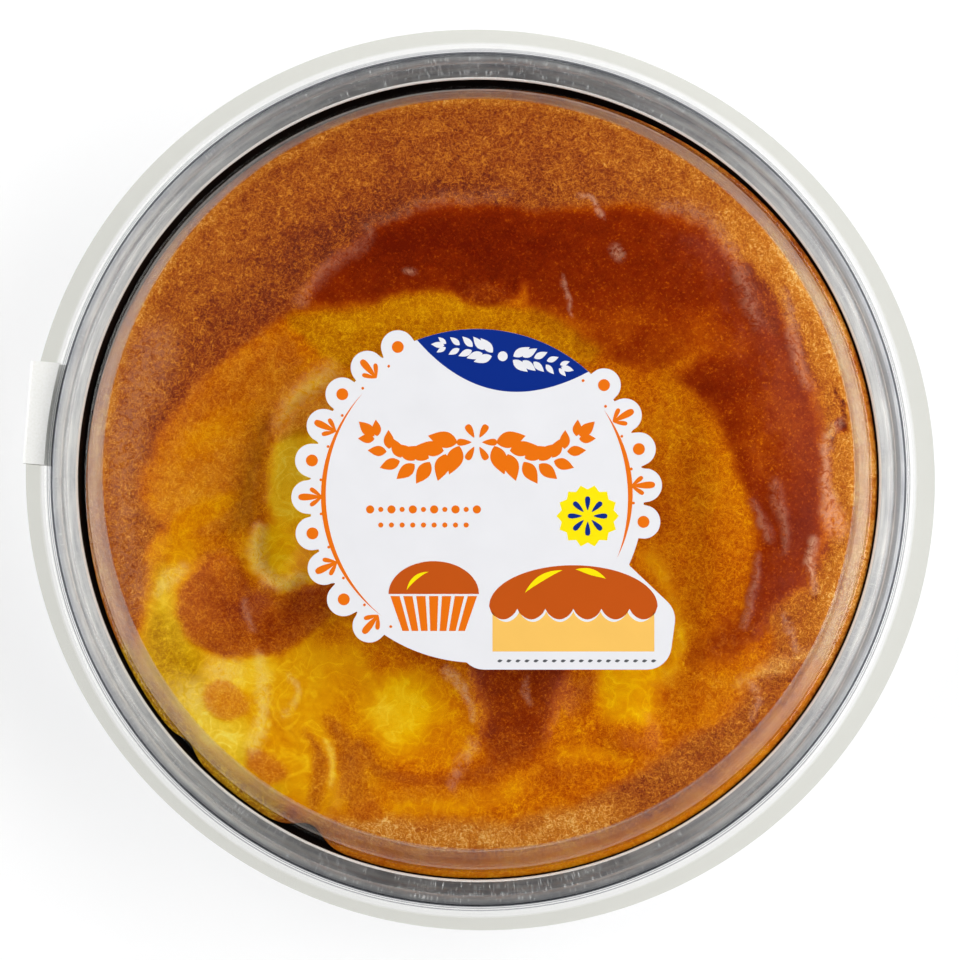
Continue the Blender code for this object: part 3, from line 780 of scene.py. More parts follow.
    fold([(77, 50), (78.5, 42), (79.6, 36), (81.6, 29), (84, 23.5)], (0.2, 0.4, 0.3, 0.4, 0.2), tone=0.2,
        soft=0.8, rise=-0.3),
    fold([(87.2, 23), (89.6, 20), (90.8, 16.5)], (0.2, 0.4, 0.5), tone=0, soft=0.6, rise=-0.8),
    fold([(90, 15), (87, 11), (86, 6), (86, 1), (87.5, -4)], (0.5, 1, 0.8, 1, 1.4), cream=0.5, soft=1.4,
        rise=0.6),
    fold([(89.8, 12.5), (87.6, 8), (86.6, 3), (86.8, -1), (88, -5), (87.2, -13), (84.6, -19), (83.5, -27)],
        (0.4, 0.4, 0.3, 0.3, 0.4, 0.3, 0.4, 0.2), tone=0.26, soft=0.8, rise=-0.3),
    oval(88, -9, 2.6, 5.5, 10, tone=0.5, crust=0, cream=0.4, soft=1.5, rise=0.5),
    fold([(82.6, -15), (82.4, -20), (83.5, -27)], (0.7, 0.9, 0.5), cream=0.6, soft=1.2, rise=0.5),
    # Streaks of painted highlight.
    fold([(73.5, 0), (74.5, -6), (75.5, -12), (75.5, -18)], (0.4, 1, 0.8, 0.3), cream=0.22, soft=1.6,
        rise=0.4),
    fold([(68, -5), (70, -10), (71, -15)], (0.4, 0.8, 0.4), cream=0.28, soft=1.6, rise=0.3),
    fold([(69, -19), (68, -26), (67, -32), (65, -36)], (0.2, 0.6, 0.6, 0.2), cream=0.3, soft=1.2, rise=0.5),
    fold([(67, -50), (69, -54), (68, -58)], (0.4, 0.7, 0.4), cream=0.4, soft=1.2, rise=0.3),
    fold([(76, -34), (77, -38), (79, -42)], (0.4, 0.8, 0.4), cream=0.4, soft=1.4, rise=0.3),
    # A small hole beside the tear, painted dark as the shade inside it.
    oval(90.2, 14.2, 1.7, 1.2, -50, tone=0, crust=0, soft=0.9, rise=-2.2),
    # Painted glints and threads of highlight.
    fold([(-8, -47), (-4, -50.5), (-1.2, -55), (-0.6, -59)], (1, 0.8, 0.5, 0.3), cream=0.5, soft=1.2,
        rise=0.3),
    fold([(-1, -65), (-5, -70), (-6.5, -75)], (0.4, 0.8, 0.4), cream=0.3, soft=2),
    fold([(25, 71.5), (28, 71), (30, 68), (31, 66)], (0.3, 0.6, 0.5, 0.2), cream=0.5, soft=0.8),
    oval(33.5, 56.5, 1.3, 1.8, 30, cream=0.4, soft=1),
    oval(-17, 51, 1.2, 0.7, cream=0.4, soft=0.8),
    fold([(20, 50), (22, 45), (23, 41)], (0.2, 0.3, 0.2), cream=0.4, soft=0.5),
)
START_TONE = 0.42
STROKE_SOFT = 1.5
SEEN_SHIFT = 1.3  # the strokes are placed as the stage's camera sees them, leaning 3 degrees off the vertical

# Broad relief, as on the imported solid: (x, y, half length, half width, turn, rise).
SWELLS = (
    (-60, -30, 12, 11, 0, 1.8),
    (-42, -29, 13, 7.5, 25, 1.6),
    (-62.5, -54, 6.5, 6, 0, 1.2),
    (-51, -71, 5, 7, 30, 1),
    (9.5, -55, 11, 12, 0, 1.6),
    (37.5, -64, 6, 6, 0, 1),
    (60, 38, 30, 16, -55, 1.4),
    (0, 58, 52, 9, 0, 1.3),
    (-12, -59, 17, 13, -15, -1.6),
    (-53, 0, 15, 32, -12, -1),
    (-20, 39, 38, 6.5, 8, -1),
    (46, -12, 9.5, 34, 0, -1),
    (38, -55, 12, 9, 0, -0.9),
    (-66, -57, 22, 12, -48, -1.1),
)


def paint(x, y):
    """The layers and the rise at each point, from the strokes laid over each other. The points are first
    moved by up to 2 mm of mottle, because poured and baked edges wander."""
    seen_x = x + 1.5 * mottle(x, y, 9.0, 11) + 0.5 * mottle(x, y, 2.2, 12)
    seen_y = y + 1.5 * mottle(x, y, 9.0, 21) + 0.5 * mottle(x, y, 2.2, 22) + SEEN_SHIFT
    layers = {key: np.zeros(x.shape) for key in CAKE_SIDE_LOOK}
    layers["tone"] += START_TONE
    rise = np.zeros(x.shape)
    for shape, data, look in STROKES:
        soft = look.get("soft", STROKE_SOFT)
        cover = ease(0.5 - stroke_distance(seen_x, seen_y, shape, data) / (2 * soft))
        for key, layer in layers.items():
            if key in look:
                layer += (look[key] - layer) * cover
        rise += look.get("rise", 0.0) * cover
    return layers, rise


def broad_relief(x, y):
    """The sum of the swells: each has its full rise in an ellipse and eases to nothing just outside it."""
    total = np.zeros(x.shape)
    for *ellipse, rise in SWELLS:
        total += rise * ease(1.5 - oval_share(x, y, *ellipse))
    return total


def layered(x, y, layers):
    """The sum of layers of mottle, each times its rise."""
    return sum(rise * mottle(x, y, size, seed, octaves) for rise, size, seed, octaves in layers)


def torn_rim(radius, angles):
    """How far the crumb lies below the skin: a step where the radius passes the tear's ragged line."""
    degrees = (np.degrees(angles) + 180.0) % 360.0 - 180.0
    lap = TEAR_LAP * np.exp(-(((degrees - TEAR_LAP_ANGLE) / TEAR_LAP_HALF_SPREAD) ** 2))
    spread = np.clip(1.5 - np.abs(degrees - TEAR_ANGLE) / TEAR_HALF_SPREAD, 0, 1)
    return TEAR_DROP * spread * np.clip((radius - TEAR_RADIUS - lap) / TEAR_BORDER, 0, 1)


def square_to_disc(cells):
    """A square grid bent into a disc: each square ring becomes a circle, and the share of the way along a
    side becomes an angle. Returns the share of the radius and the angle at each point."""
    u, v = np.meshgrid(np.linspace(-1, 1, cells + 1), np.linspace(-1, 1, cells + 1), indexing="ij")
    wide = np.abs(u) >= np.abs(v)
    share = np.where(wide, np.abs(u), np.abs(v))
    safe_u = np.where(u == 0, 1e-9, u)
    safe_v = np.where(v == 0, 1e-9, v)
    angle = np.where(wide, math.pi / 4 * v / safe_u, math.pi / 2 - math.pi / 4 * u / safe_v)
    angle = np.where((wide & (u < 0)) | (~wide & (v < 0)), angle + math.pi, angle)
    return share, angle % (2 * math.pi)


def cake_surface(cells):
    """The cake: its top on a square grid bent into a disc, then its side in rings and its flat base. The top
    is a dome with the swells and strokes on it, rougher where it is crust."""
    share, angles = square_to_disc(cells)
    radius = share * cake_radius(CAKE_EDGE_HEIGHT, angles)
    x = radius * np.cos(angles)
    y = radius * np.sin(angles)
    layers, rise = paint(x, y)
    lift = (1 - share**CAKE_DOME_POWER) ** CAKE_SHOULDER_POWER
    relief = broad_relief(x, y) + rise - torn_rim(radius, angles)
    relief += layers["crust"] * layered(x, y, CRAGS) + layered(x, y, RIPPLES)
    climb = CAKE_CROWN - CAKE_SWELL_ROOM - CAKE_EDGE_HEIGHT
    height = CAKE_EDGE_HEIGHT + climb * lift + relief * (1 - share**CAKE_RELIEF_POWER)
    columns = cells + 1
    corner = np.arange(cells)
    above = np.concatenate(
        (corner, cells + corner * columns, cells * columns + cells - corner, (cells - corner) * columns)
    )
    edge_angles = angles.reshape(-1)[above]
    crumb_edge = 0.25 * mottle(edge_angles * CRUMB_RADIUS, 0 * edge_angles, 3.0, 61)
    points = [np.stack((x, y, height), axis=-1).reshape(-1, 3)]
    quads = [grid_faces(columns, columns, False)]
    start = columns**2
    for level, tuck in CAKE_SIDE:
        radius = cake_radius(level, edge_angles) - tuck + np.minimum(crumb_edge, 0.0)
        flat = radius * np.cos(edge_angles), radius * np.sin(edge_angles)
        points.append(np.column_stack((*flat, np.full(len(above), level))))
        below = start + np.arange(len(above))
        quads.append(np.stack((above, np.roll(above, -1), np.roll(below, -1), below), axis=-1))
        above = below
        start += len(above)
    faces = np.vstack(quads).tolist()
    faces.append(above[::-1].tolist())
    side = len(CAKE_SIDE) * len(above)
    layers = {
        key: np.append(layer.reshape(-1), np.full(side, CAKE_SIDE_LOOK[key])) for key, layer in layers.items()
    }
    return np.vstack(points), faces, layers


# Colours by tone: of glazed caramel and custard, of the sponge's crust, and of greener custard.
GLAZE_TONES = (
    (0.00, "#661402"),
    (0.12, "#791E02"),
    (0.25, "#8E2B03"),
    (0.38, "#A84404"),
    (0.50, "#C76205"),
    (0.62, "#DA7C04"),
    (0.75, "#EA9A03"),
    (0.88, "#F7B904"),
    (1.00, "#FFCF1C"),
)
CRUST_TONES = (
    (0.00, "#641C02"),
    (0.20, "#8A3403"),
    (0.40, "#B05608"),
    (0.60, "#CF7714"),
    (0.80, "#E89B36"),
    (1.00, "#FAC878"),
)
LEMON_TONES = (
    (0.35, "#9E6401"),
    (0.50, "#BB8103"),
    (0.62, "#D19C05"),
    (0.75, "#E5B411"),
    (0.90, "#FBD133"),
    (1.00, "#FFE55F"),
)


def baked_material(settings):
    """Baked sponge and custard: the sponge's crust is a mat of fine grains, pale where they stand up and
    brown between, and the caramel and custard are smooth and moist, with golden crumbs set in the dark
    caramel, soft veins in the custard, and a faint painted sheen on their folds: pale colour standing in
    for highlights."""
    material = bpy.data.materials.new("baked_sponge_and_custard")
    node = cleared(material)
    where = node("TexCoord").outputs["Object"]
    tone, rough, cream, lemon = (
        node("Attribute", attribute_name=name).outputs["Fac"] for name in ("tone", "crust", "cream", "lemon")
    )
    # Thin lines where a noise crosses its middle: curls and hairs of crumb, and wisps in the custard.
    lines = []
    for size, distortion, on, off in ((1.9, 1.2, 0.78, 0.38), (1.2, 0.8, 0.70, 0.38), (9.0, 1.6, 0.09, 0.0)):
        noise = node("TexNoise", where, per_mm(size), 1.0, 0.5, Distortion=distortion)
        away = node("Math", node("Math", noise, 0.5, operation="SUBTRACT"), operation="ABSOLUTE")
        lines.append(node("MapRange", away, 0.0, 0.04, on, off))
    curl, hair, wisp = lines
    fuzz = node("Math", node("TexNoise", where, per_mm(0.8), 3.0, 0.8), 0.5, operation="SUBTRACT")
    grain = node("Math", fuzz, 1.1, node("Math", curl, hair, operation="MAXIMUM"), operation="MULTIPLY_ADD")
    # The crust breaks up raggedly into the glaze.
    ragged = node("Math", node("TexNoise", where, per_mm(1.6), 2.0, 0.6), 0.5, operation="SUBTRACT")
    crust = node("MapRange", node("Math", ragged, 0.5, rough, operation="MULTIPLY_ADD"), 0.08, 0.92)
    # Tone wanders with the grains and clumps of the crust, and with the veins and curds of the custard.
    # Amber custard holds fine crumb too; bright custard is smooth.
    low_amber = node("MapRange", tone, 0.36, 0.5, 0.08, 0.5)
    high_amber = node("MapRange", tone, 0.56, 0.72, 0.5, 0.05)
    amber = node("Math", low_amber, high_amber, operation="MINIMUM")
    weight = node("Math", node("MapRange", crust, 0, 1, 0.08, 0.9), amber, operation="MAXIMUM")
    clump, blotch, vein, curd = (
        node("TexNoise", where, per_mm(size), detail, roughness, Distortion=distortion)
        for size, detail, roughness, distortion in (
            (5.0, 4.0, 0.6, 0.3),
            (17.0, 4.0, 0.6, 0.0),
            (14.0, 3.0, 0.6, 1.6),
            (3.2, 3.0, 0.65, 1.2),
        )
    )
    total = tone
    for pattern, share in (
        (grain, weight),
        (clump, node("MapRange", crust, 0, 1, 0.16, 0.5)),
        (blotch, 0.2),
        (vein, node("MapRange", crust, 0, 1, 0.25, 0.0)),
        (curd, node("MapRange", crust, 0, 1, 0.24, 0.0)),
    ):
        centred = node("Math", pattern, 0.5, operation="SUBTRACT")
        total = node("Math", centred, share, total, operation="MULTIPLY_ADD")
    # Light wisps in the custard, dark pits in the crust, and golden crumbs in the dark caramel.
    custard = node("MapRange", tone, 0.4, 0.55)
    smooth = node("Math", custard, node("MapRange", crust, 0.0, 0.5, 1.0, 0.0), operation="MULTIPLY")
    pits = node("MapRange", node("TexNoise", where, per_mm(2.6), 2.0, 0.55), 0.39, 0.31, 0.0, -0.13)
    specks = node("MapRange", node("TexNoise", where, per_mm(0.65), 2.0, 0.5), 0.56, 0.72)
    crumbs = node("Math", node("MapRange", tone, 0.45, 0.3), specks, operation="MULTIPLY")
    for pattern, share in ((wisp, smooth), (pits, crust), (crumbs, 0.2)):
        total = node("Math", pattern, share, total, operation="MULTIPLY_ADD")
    glazed, crusted, lemoned = (
        node("ValToRGB", total, stops=stops) for stops in (GLAZE_TONES, CRUST_TONES, LEMON_TONES)
    )
    # Painted sheen: pale highlights painted along the folds, broken into streaks, yellower where they lie
    # on bright custard.
    streaks = node("TexNoise", where, per_mm(1.9), 4.0, 0.75, Distortion=1.0)
    painted_sheen = node("Math", cream, node("MapRange", streaks, 0.38, 0.58, 0.1, 1.35), operation="MULTIPLY")
    bright = node("MapRange", tone, 0.5, 0.8)
    glaze = node("Mix", bright, settings.cream, settings.custard, data_type="RGBA")
    base = glazed
    for share, colour in ((crust, crusted), (lemon, lemoned), (painted_sheen, glaze)):
        base = node("Mix", share, base, colour, data_type="RGBA")
    fine = node("Bump", Height=grain, Strength=node("MapRange", crust, 0.2, 1, 0.04, 0.7), Distance=0.4 * MM)
    coarse = node("MapRange", crust, 0.2, 1, 0.08, 0.5)
    shader = node(
        "BsdfPrincipled",
        Base_Color=base,
        Roughness=node("MapRange", crust, 0, 1, 0.16, 0.6),
        Specular_IOR_Level=node("MapRange", crust, 0.2, 1, 0.05, 0.15),
        Normal=node("Bump", Height=clump, Strength=coarse, Distance=1.0 * MM, Normal=fine),
    )
    node("OutputMaterial", shader)
    return material


class CakeSettings(bpy.types.PropertyGroup):
    """What a user may change on the cake."""

    cells: IntProperty(name="Cells", description="Cells across the cake's top", default=296)
    # Colours of the painted sheen, pale highlights on the folds: over caramel, and over bright custard.
    cream: StringProperty(name="Cream", description="Milky glaze, sRGB", default="#E6AE8C")
    custard: StringProperty(name="Custard", description="Glaze on bright custard, sRGB", default="#F7DF8A")


class CREAMCAKE_OT_cake(bpy.types.Operator):
    """Makes the baked cake with its browned, custard-swirled top"""

    bl_idname = "creamcake.cake"
    bl_label = "Cake"

    def execute(self, context):
        settings = context.scene.creamcake_cake
        points, faces, layers = cake_surface(settings.cells)
        material = baked_material(settings)
        made = piece("baked_cake", points, faces, material, ("cake",), smooth=75.0)
        mark(made, **layers)
        return {"FINISHED"}


# Lid


def clear_sheet_material(settings):
    """Clear formed polyester sheet, 0.4 mm: what it doesn't reflect goes straight through, and it reflects
    more the flatter the light meets it. Its outer flange is slightly milky where it has been stretched."""
    material = bpy.data.materials.new("clear_polyester_sheet")
    node = cleared(material)
    where = node("TexCoord").outputs["Object"]
    back = node("NewGeometry").outputs["Backfacing"]
    index = node("MapRange", back, To_Min=settings.index, To_Max=1 / settings.index)
    waves = node("TexNoise", where, per_mm(25.0), 2.0)
    bump = node("Bump", Height=waves, Strength=0.3, Distance=0.4 * MM)
    # A formed sheet is never quite flat, so at a glance it mirrors less than polished sheet would.
    mirror = node("Math", node("Fresnel", index, bump), 0.9, operation="MULTIPLY")
    place = node("SeparateXYZ", where).outputs
    radius = node("VectorMath", node("CombineXYZ", place["X"], place["Y"]), operation="LENGTH")
    across = node("MapRange", radius, LID_RISE_RADIUS * MM, LID_FLANGE_RADIUS * MM)
    # The folds of the skirt bend light away and show as thin dark rings.
    shades = [(LID_RISE_RADIUS, settings.clear)]
    for ring, half, code in FOLD_RINGS:
        shades += [(ring - 2 * half, settings.clear), (ring - half, code)]
        shades += [(ring + half, code), (ring + 2 * half, settings.clear)]
    shades += zip(EDGE_TINT_RADII, (settings.clear, settings.edge))
    width = LID_FLANGE_RADIUS - LID_RISE_RADIUS
    stops = [((reach - LID_RISE_RADIUS) / width, code) for reach, code in shades]
    tint = node("ValToRGB", across, stops=stops)
    shine = node("BsdfGlossy", Roughness=0.04, Normal=bump)
    clear = node("MixShader", mirror, node("BsdfTransparent", tint), shine)
    step = ((LID_STEP_RADIUS + side * LID_STEP_BORDER) * MM for side in (-1, 1))
    haze = node("MapRange", node("MapRange", radius, *step), To_Min=0.0, To_Max=0.05)
    node("OutputMaterial", node("MixShader", haze, clear, node("BsdfTranslucent", "#F4F5F4")))
    return material


def flange_wave(radius, angles):
    """How far the lid's outer flange strays from round, growing from nothing at the skirt's foot."""
    share = np.clip((radius - LID_SKIRT_FOOT_RADIUS) / (LID_FLANGE_RADIUS - LID_SKIRT_FOOT_RADIUS), 0, None)
    return share * sum(
        size * np.cos(count * (angles - math.radians(crest))) for count, size, crest in LID_FLANGE_WAVES
    )


def lid_profile():
    """The lid's section: flat top, shoulder, steep wall, brim, skirt over the bead and outer flange."""
    top = rounded(
        (
            (0.0, LID_TOP, 0),
            (LID_SHOULDER_RADIUS, LID_TOP, LID_SHOULDER_FILLET),
            (LID_FOOT_RADIUS, LID_FOOT_HEIGHT, 0.15),
            (LID_RISE_RADIUS, LID_FOOT_HEIGHT, 0.4),
            (LID_RISE_RADIUS + 0.3, LID_SKIRT_TOP_HEIGHT, 0.7),
            (LID_SKIRT_TOP_RADIUS, LID_SKIRT_TOP_HEIGHT, 0.8),
            (LID_SKIRT_FOOT_RADIUS, LID_FLANGE_HEIGHT, 0.6),
            (LID_STEP_RADIUS, LID_FLANGE_HEIGHT, 0.3),
            (LID_STEP_RADIUS + LID_STEP_WIDTH, LID_FLANGE_HEIGHT - LID_STEP_DROP, 0.3),
            (LID_FLANGE_RADIUS, LID_FLANGE_HEIGHT - LID_STEP_DROP, 0),
        )
    )
    return np.vstack((top, offset(top, LID_WALL)[::-1]))


class LidSettings(bpy.types.PropertyGroup):
    """What a user may change on the lid."""

    segments: IntProperty(name="Segments", description="Facets round the lid", default=360)
    index: FloatProperty(name="Index", description="Refractive index of the sheet", default=1.57)
    clear: StringProperty(name="Clear", description="Colour of light let through, sRGB", default="#FDFDFC")
    edge: StringProperty(name="Edge", description="The same at the outer flange, sRGB", default="#F2F2EE")


class CREAMCAKE_OT_lid(bpy.types.Operator):
    """Makes the clear domed lid"""

    bl_idname = "creamcake.lid"
    bl_label = "Lid"

    def execute(self, context):
        settings = context.scene.creamcake_lid
        points, faces = turned(lid_profile(), settings.segments, flange_wave)
        piece("lid_shell", points, faces, clear_sheet_material(settings), ("lid",))
        return {"FINISHED"}


# Label


def disc_reach(angles, x, y, radius):
    """The far reach of a disc at (x, y) from the label's centre along each angle, or 0 where missed."""
    orbit = math.hypot(x, y)
    off = angles - math.atan2(y, x)
    across = radius**2 - (orbit * np.sin(off)) ** 2
    hit = (across > 0) & (np.cos(off) > 0)
    return np.where(hit, orbit * np.cos(off) + np.sqrt(np.clip(across, 0, None)), 0.0)


def edge_reach(angles, start, end):
    """The reach of a straight edge from the label's centre along each angle, or 0 where it is missed."""
    run_x = end[0] - start[0]
    run_y = end[1] - start[1]
    slope = np.cos(angles) * run_y - np.sin(angles) * run_x
    slope = np.where(np.abs(slope) < 1e-9, 1e-9, slope)
    reach = (start[0] * run_y - start[1] * run_x) / slope
    share = (start[0] * np.sin(angles) - start[1] * np.cos(angles)) / slope
    hit = (reach > 0) & (share >= 0) & (share <= 1)
    return np.where(hit, reach, 0.0)


def scallop_centres():
    """The angle of each scallop, on the left and on the right."""
    return [first + i * SCALLOP_STEP for first, count in SCALLOP_ARCS for i in range(count)]


def label_reach(angles):
    """The label's outline: the farthest of its disc, its scallops and its rounded foot."""
    reach = np.full(len(angles), LABEL_RADIUS)
    for degrees in scallop_centres():
        x = SCALLOP_ORBIT * math.cos(math.radians(degrees))
        y = SCALLOP_ORBIT * math.sin(math.radians(degrees))
        reach = np.maximum(reach, disc_reach(angles, x, y, SCALLOP_RADIUS))
    foot = rounded([(0.0, 0.0, 0), *((*point, LABEL_FOOT_FILLET) for point in LABEL_FOOT), (0.0, 0.0, 0)])
    for start, end in zip(foot[1:-1], foot[2:-1]):
        reach = np.maximum(reach, edge_reach(angles, start, end))
    return reach


def polar(radius, degrees):
    """Points at radii and angles round the origin."""
    angle = np.radians(degrees)
    return np.column_stack((radius * np.cos(angle), radius * np.sin(angle)))


def moved(outline, x=0.0, y=0.0, turn=0.0, size=1.0):
    """An outline enlarged, turned and then moved."""
    c, s = math.cos(math.radians(turn)), math.sin(math.radians(turn))
    return size * outline @ np.array(((c, s), (-s, c))) + (x, y)


def disc(radius, count=40):
    """A circle."""
    return polar(radius, np.linspace(0, 360, count, endpoint=False))


def petal(length, width):
    """A drop from its point at the origin out along X: its width grows to a round end."""
    share = np.linspace(0, 1, 24)
    x = length * (1 - np.cos(math.pi * share)) / 2
    half = width / 2 * np.sin(math.pi * share) ** 0.9 * (0.25 + 0.95 * share) ** 1.4
    return np.vstack((np.column_stack((x, half)), np.column_stack((x[::-1], -half[::-1]))[1:-1]))


def crescent(radius, first, last, width):
    """A thin moon along a circle, widest halfway and pointed at both ends."""
    degrees = np.linspace(first, last, 40)
    half = width / 2 * np.sin(math.pi * np.linspace(0, 1, 40))
    return np.vstack((polar(radius + half, degrees), polar(radius - half, degrees)[::-1][1:-1]))


def ink_material(name, code):
    """Offset ink on coated paper: flat colour that varies a little with the paper's fibres."""
    material = bpy.data.materials.new(name)
    node = cleared(material)
    where = node("TexCoord").outputs["Object"]
    fibre, cloud = (node("TexNoise", where, per_mm(size), 2.0) for size in (0.5, 9.0))
    deep = (*(channel * INK_DEPTH for channel in linear(code)), 1.0)
    colour = node("Mix", cloud, deep, code, data_type="RGBA")
    bump = node("Bump", Height=fibre, Strength=0.25, Distance=0.02 * MM)
    shader = node("BsdfPrincipled", Base_Color=colour, Roughness=0.3, IOR=1.5, Normal=bump)
    node("OutputMaterial", shader)
    return material


def cap_outline():
    """The blue field: the part of the label's disc above a shallow curve, tilted to the right."""
    first, last = CAP_ARC
    half = (last - first) / 2
    rim = polar(LABEL_RADIUS - 0.01, np.linspace(90 - half, 90 + half, 60))
    share = np.linspace(1, -1, 40)[1:-1]
    curve = np.column_stack((-share * rim[0, 0], rim[0, 1] - CAP_SAG * (1 - share**2)))
    return moved(np.vstack((rim, curve)), turn=(first + last) / 2 - 90)


def leaf(length, width):
    """A leaf from its stalk at the origin out along X: two arcs of a sine, pointed at both ends."""
    share = np.linspace(0, 1, 16)
    x = length * share
    half = width / 2 * np.sin(math.pi * share**0.8)
    return np.vstack((np.column_stack((x, half)), np.column_stack((x, -half))[::-1][1:-1]))


def spray(curve, count, length, width, lean):
    """Leaves in pairs along a line, leaning forwards and growing smaller, with one more at its end."""
    line = bend(curve, steps=16)
    outlines = []
    for k in range(count):
        at = k * (len(line) - 2) // (count - 1)
        heading = math.degrees(math.atan2(*(line[at + 1] - line[at])[::-1]))
        size = 1 - 0.45 * k / (count - 1)
        for side in (-1, 1):
            root = moved(np.array(((0.0, side * 0.45),)), *line[at], heading)[0]
            outlines.append(moved(leaf(length, width), *root, heading + side * lean, size))
    outlines.append(moved(leaf(length * 0.7, width * 0.7), *line[-1], heading))
    return outlines


def mirrored(outlines):
    """Outlines, followed by their mirror images to the left."""
    return outlines + [outline * (-1.0, 1.0) for outline in outlines]


def rosette(petals, inner, length, width):
    """Drops set round the origin, points inwards."""
    shape = petal(length, width) + (inner, 0.0)
    return [moved(shape, turn=360 / petals * i) for i in range(petals)]


def star(points, outer, inner):
    """A star with many short points."""
    radius = np.where(np.arange(2 * points) % 2 == 0, outer, inner)
    return polar(radius, np.arange(2 * points) * 180 / points)


def dome(x, y, half_width, height, count):
    """The upper half of an ellipse, from right to left."""
    turn = np.linspace(0, math.pi, count)
    return np.column_stack((x + half_width * np.cos(turn), y + height * np.sin(turn)))


def drip_edge(left, right, level, depth, drips):
    """The lower edge of a glaze from left to right, hanging down in round drips."""
    x = np.linspace(left, right, 12 * drips + 1)
    hang = np.abs(np.sin(math.pi * drips * (x - left) / (right - left))) ** 0.7
    return np.column_stack((x, level - depth * hang))


def glazed_cake(x, y, half_width, height):
    """A domed cake seen from its side, as a glaze that drips and the sponge under it."""
    level, depth = GLAZE_DRIPS
    drips = drip_edge(x - half_width, x + half_width, y - level, depth, DRIP_COUNT)
    glaze = np.vstack((dome(x, y, half_width, height, 50), drips[1:-1]))
    half_width -= SPONGE_INSET
    level, depth = SPONGE_DRIPS
    gap = drip_edge(x - half_width, x + half_width, y - level, depth, DRIP_COUNT)
    foot = y - SPONGE_DROP
    return glaze, np.vstack((gap, ((x + half_width, foot), (x - half_width, foot))))


def case_pleats(x, y, half_width):
    """The pleats of a small cake's case, drawn in towards its foot."""
    pleats = []
    foot = y - CASE_DROP
    margin = (1 - PLEAT_SHARE) / 2
    for k in range(PLEAT_COUNT):
        top = x - half_width + 2 * half_width * (np.array((k, k + PLEAT_SHARE)) + margin) / PLEAT_COUNT
        low = x + CASE_TAPER * (top - x)
        pleats.append(np.array(((top[0], y), (low[0], foot), (low[1], foot), (top[1], y))))
    return pleats


def scallop_marks():
    """A spot and a fan by turns on the scallops, with a small dot between each two."""
    marks = []
    for i, degrees in enumerate(scallop_centres()):
        if i % 2 == 0:
            marks.append(moved(disc(SPOT_RADIUS), *polar(SCALLOP_ORBIT, [degrees])[0]))
        else:
            root = polar(FAN_ORBIT, [degrees])[0]
            marks += [moved(petal(reach, width), *root, turn=degrees + lean) for lean, reach, width in FAN]
        marks.append(moved(disc(DOT_RADIUS, 16), *polar(DOT_ORBIT, [degrees + SCALLOP_STEP / 2])[0]))
    return marks


def print_shapes(inks):
    """The label's print in order, as (name, outlines, level, hex code); each level lies a hair above the one
    below it. From the top: two ears of wheat on the blue field, a garland of two leafy sprays that meet at a
    blossom, two rows of beads, a burst, and at the foot a glazed cake from its side, a small one in its case
    and a row of seeds."""
    blossom = [moved(drop, 0.0, GARLAND_MIDDLE) for drop in rosette(*BLOSSOM)]
    arcs = [crescent(ARC_RADIUS, *arc, ARC_WIDTH) for arc in SIDE_ARCS]
    beads = [
        moved(disc(SMALL_BEAD if k % 2 else radius, 20), left + BEAD_STEP * k, level)
        for count, left, level, radius in BEAD_ROWS
        for k in range(count)
    ]
    middle = sum(CAP_ARC) / 2
    place = polar(EAR_ORBIT, [middle])[0]
    ears = mirrored(spray(EAR, *EAR_LEAVES)) + [disc(EAR_KNOT_RADIUS)]
    glaze, sponge = glazed_cake(*GLAZED_CAKE)
    x, y, half_width, height = CASE_CAKE
    shines = [moved(crescent(radius, *arc, width), *spot) for *spot, radius, arc, width in SHINES]
    count, left, step, level = SEEDS
    seeds = [moved(leaf(*SEED_SIZE), left + step * k, level, SEED_LEAN) for k in range(count)]
    return (
        ("label_cap", [cap_outline()], 1, inks.blue),
        ("label_scallops", scallop_marks(), 1, inks.orange),
        ("label_garland", mirrored(spray(GARLAND, *GARLAND_LEAVES)) + blossom, 1, inks.orange),
        ("label_arcs", arcs + beads, 1, inks.orange),
        ("label_burst", [moved(star(*BURST_STAR), *BURST)], 1, inks.yellow),
        ("label_burst_ring", [moved(drop, *BURST) for drop in rosette(*BURST_DROPS)], 2, inks.blue),
        ("label_wheat", [moved(outline, *place, turn=middle - 90) for outline in ears], 2, inks.paper),
        ("label_glaze", [glaze, dome(x, y + CASE_LAP, half_width, height, 40)], 1, inks.glaze),
        ("label_sponge", [sponge], 1, inks.sponge),
        ("label_case", case_pleats(x, y, half_width), 1, inks.orange),
        ("label_shine", shines, 2, inks.yellow),
        ("label_seeds", seeds, 1, inks.grey),
    )


class LabelSettings(bpy.types.PropertyGroup):
    """What a user may change on the label."""

    paper: StringProperty(name="Paper", description="Coated paper, sRGB", default="#DFDFE2")
    blue: StringProperty(name="Blue", description="Blue ink, sRGB", default="#00267F")
    orange: StringProperty(name="Orange", description="Orange ink, sRGB", default="#E06C02")
    yellow: StringProperty(name="Yellow", description="Yellow ink, sRGB", default="#F0DC00")
    glaze: StringProperty(name="Glaze", description="Caramel brown ink, sRGB", default="#B94E0A")
    sponge: StringProperty(name="Sponge", description="Pale gold ink, sRGB", default="#EDBB5C")
    grey: StringProperty(name="Grey", description="Grey ink, sRGB", default="#55565A")


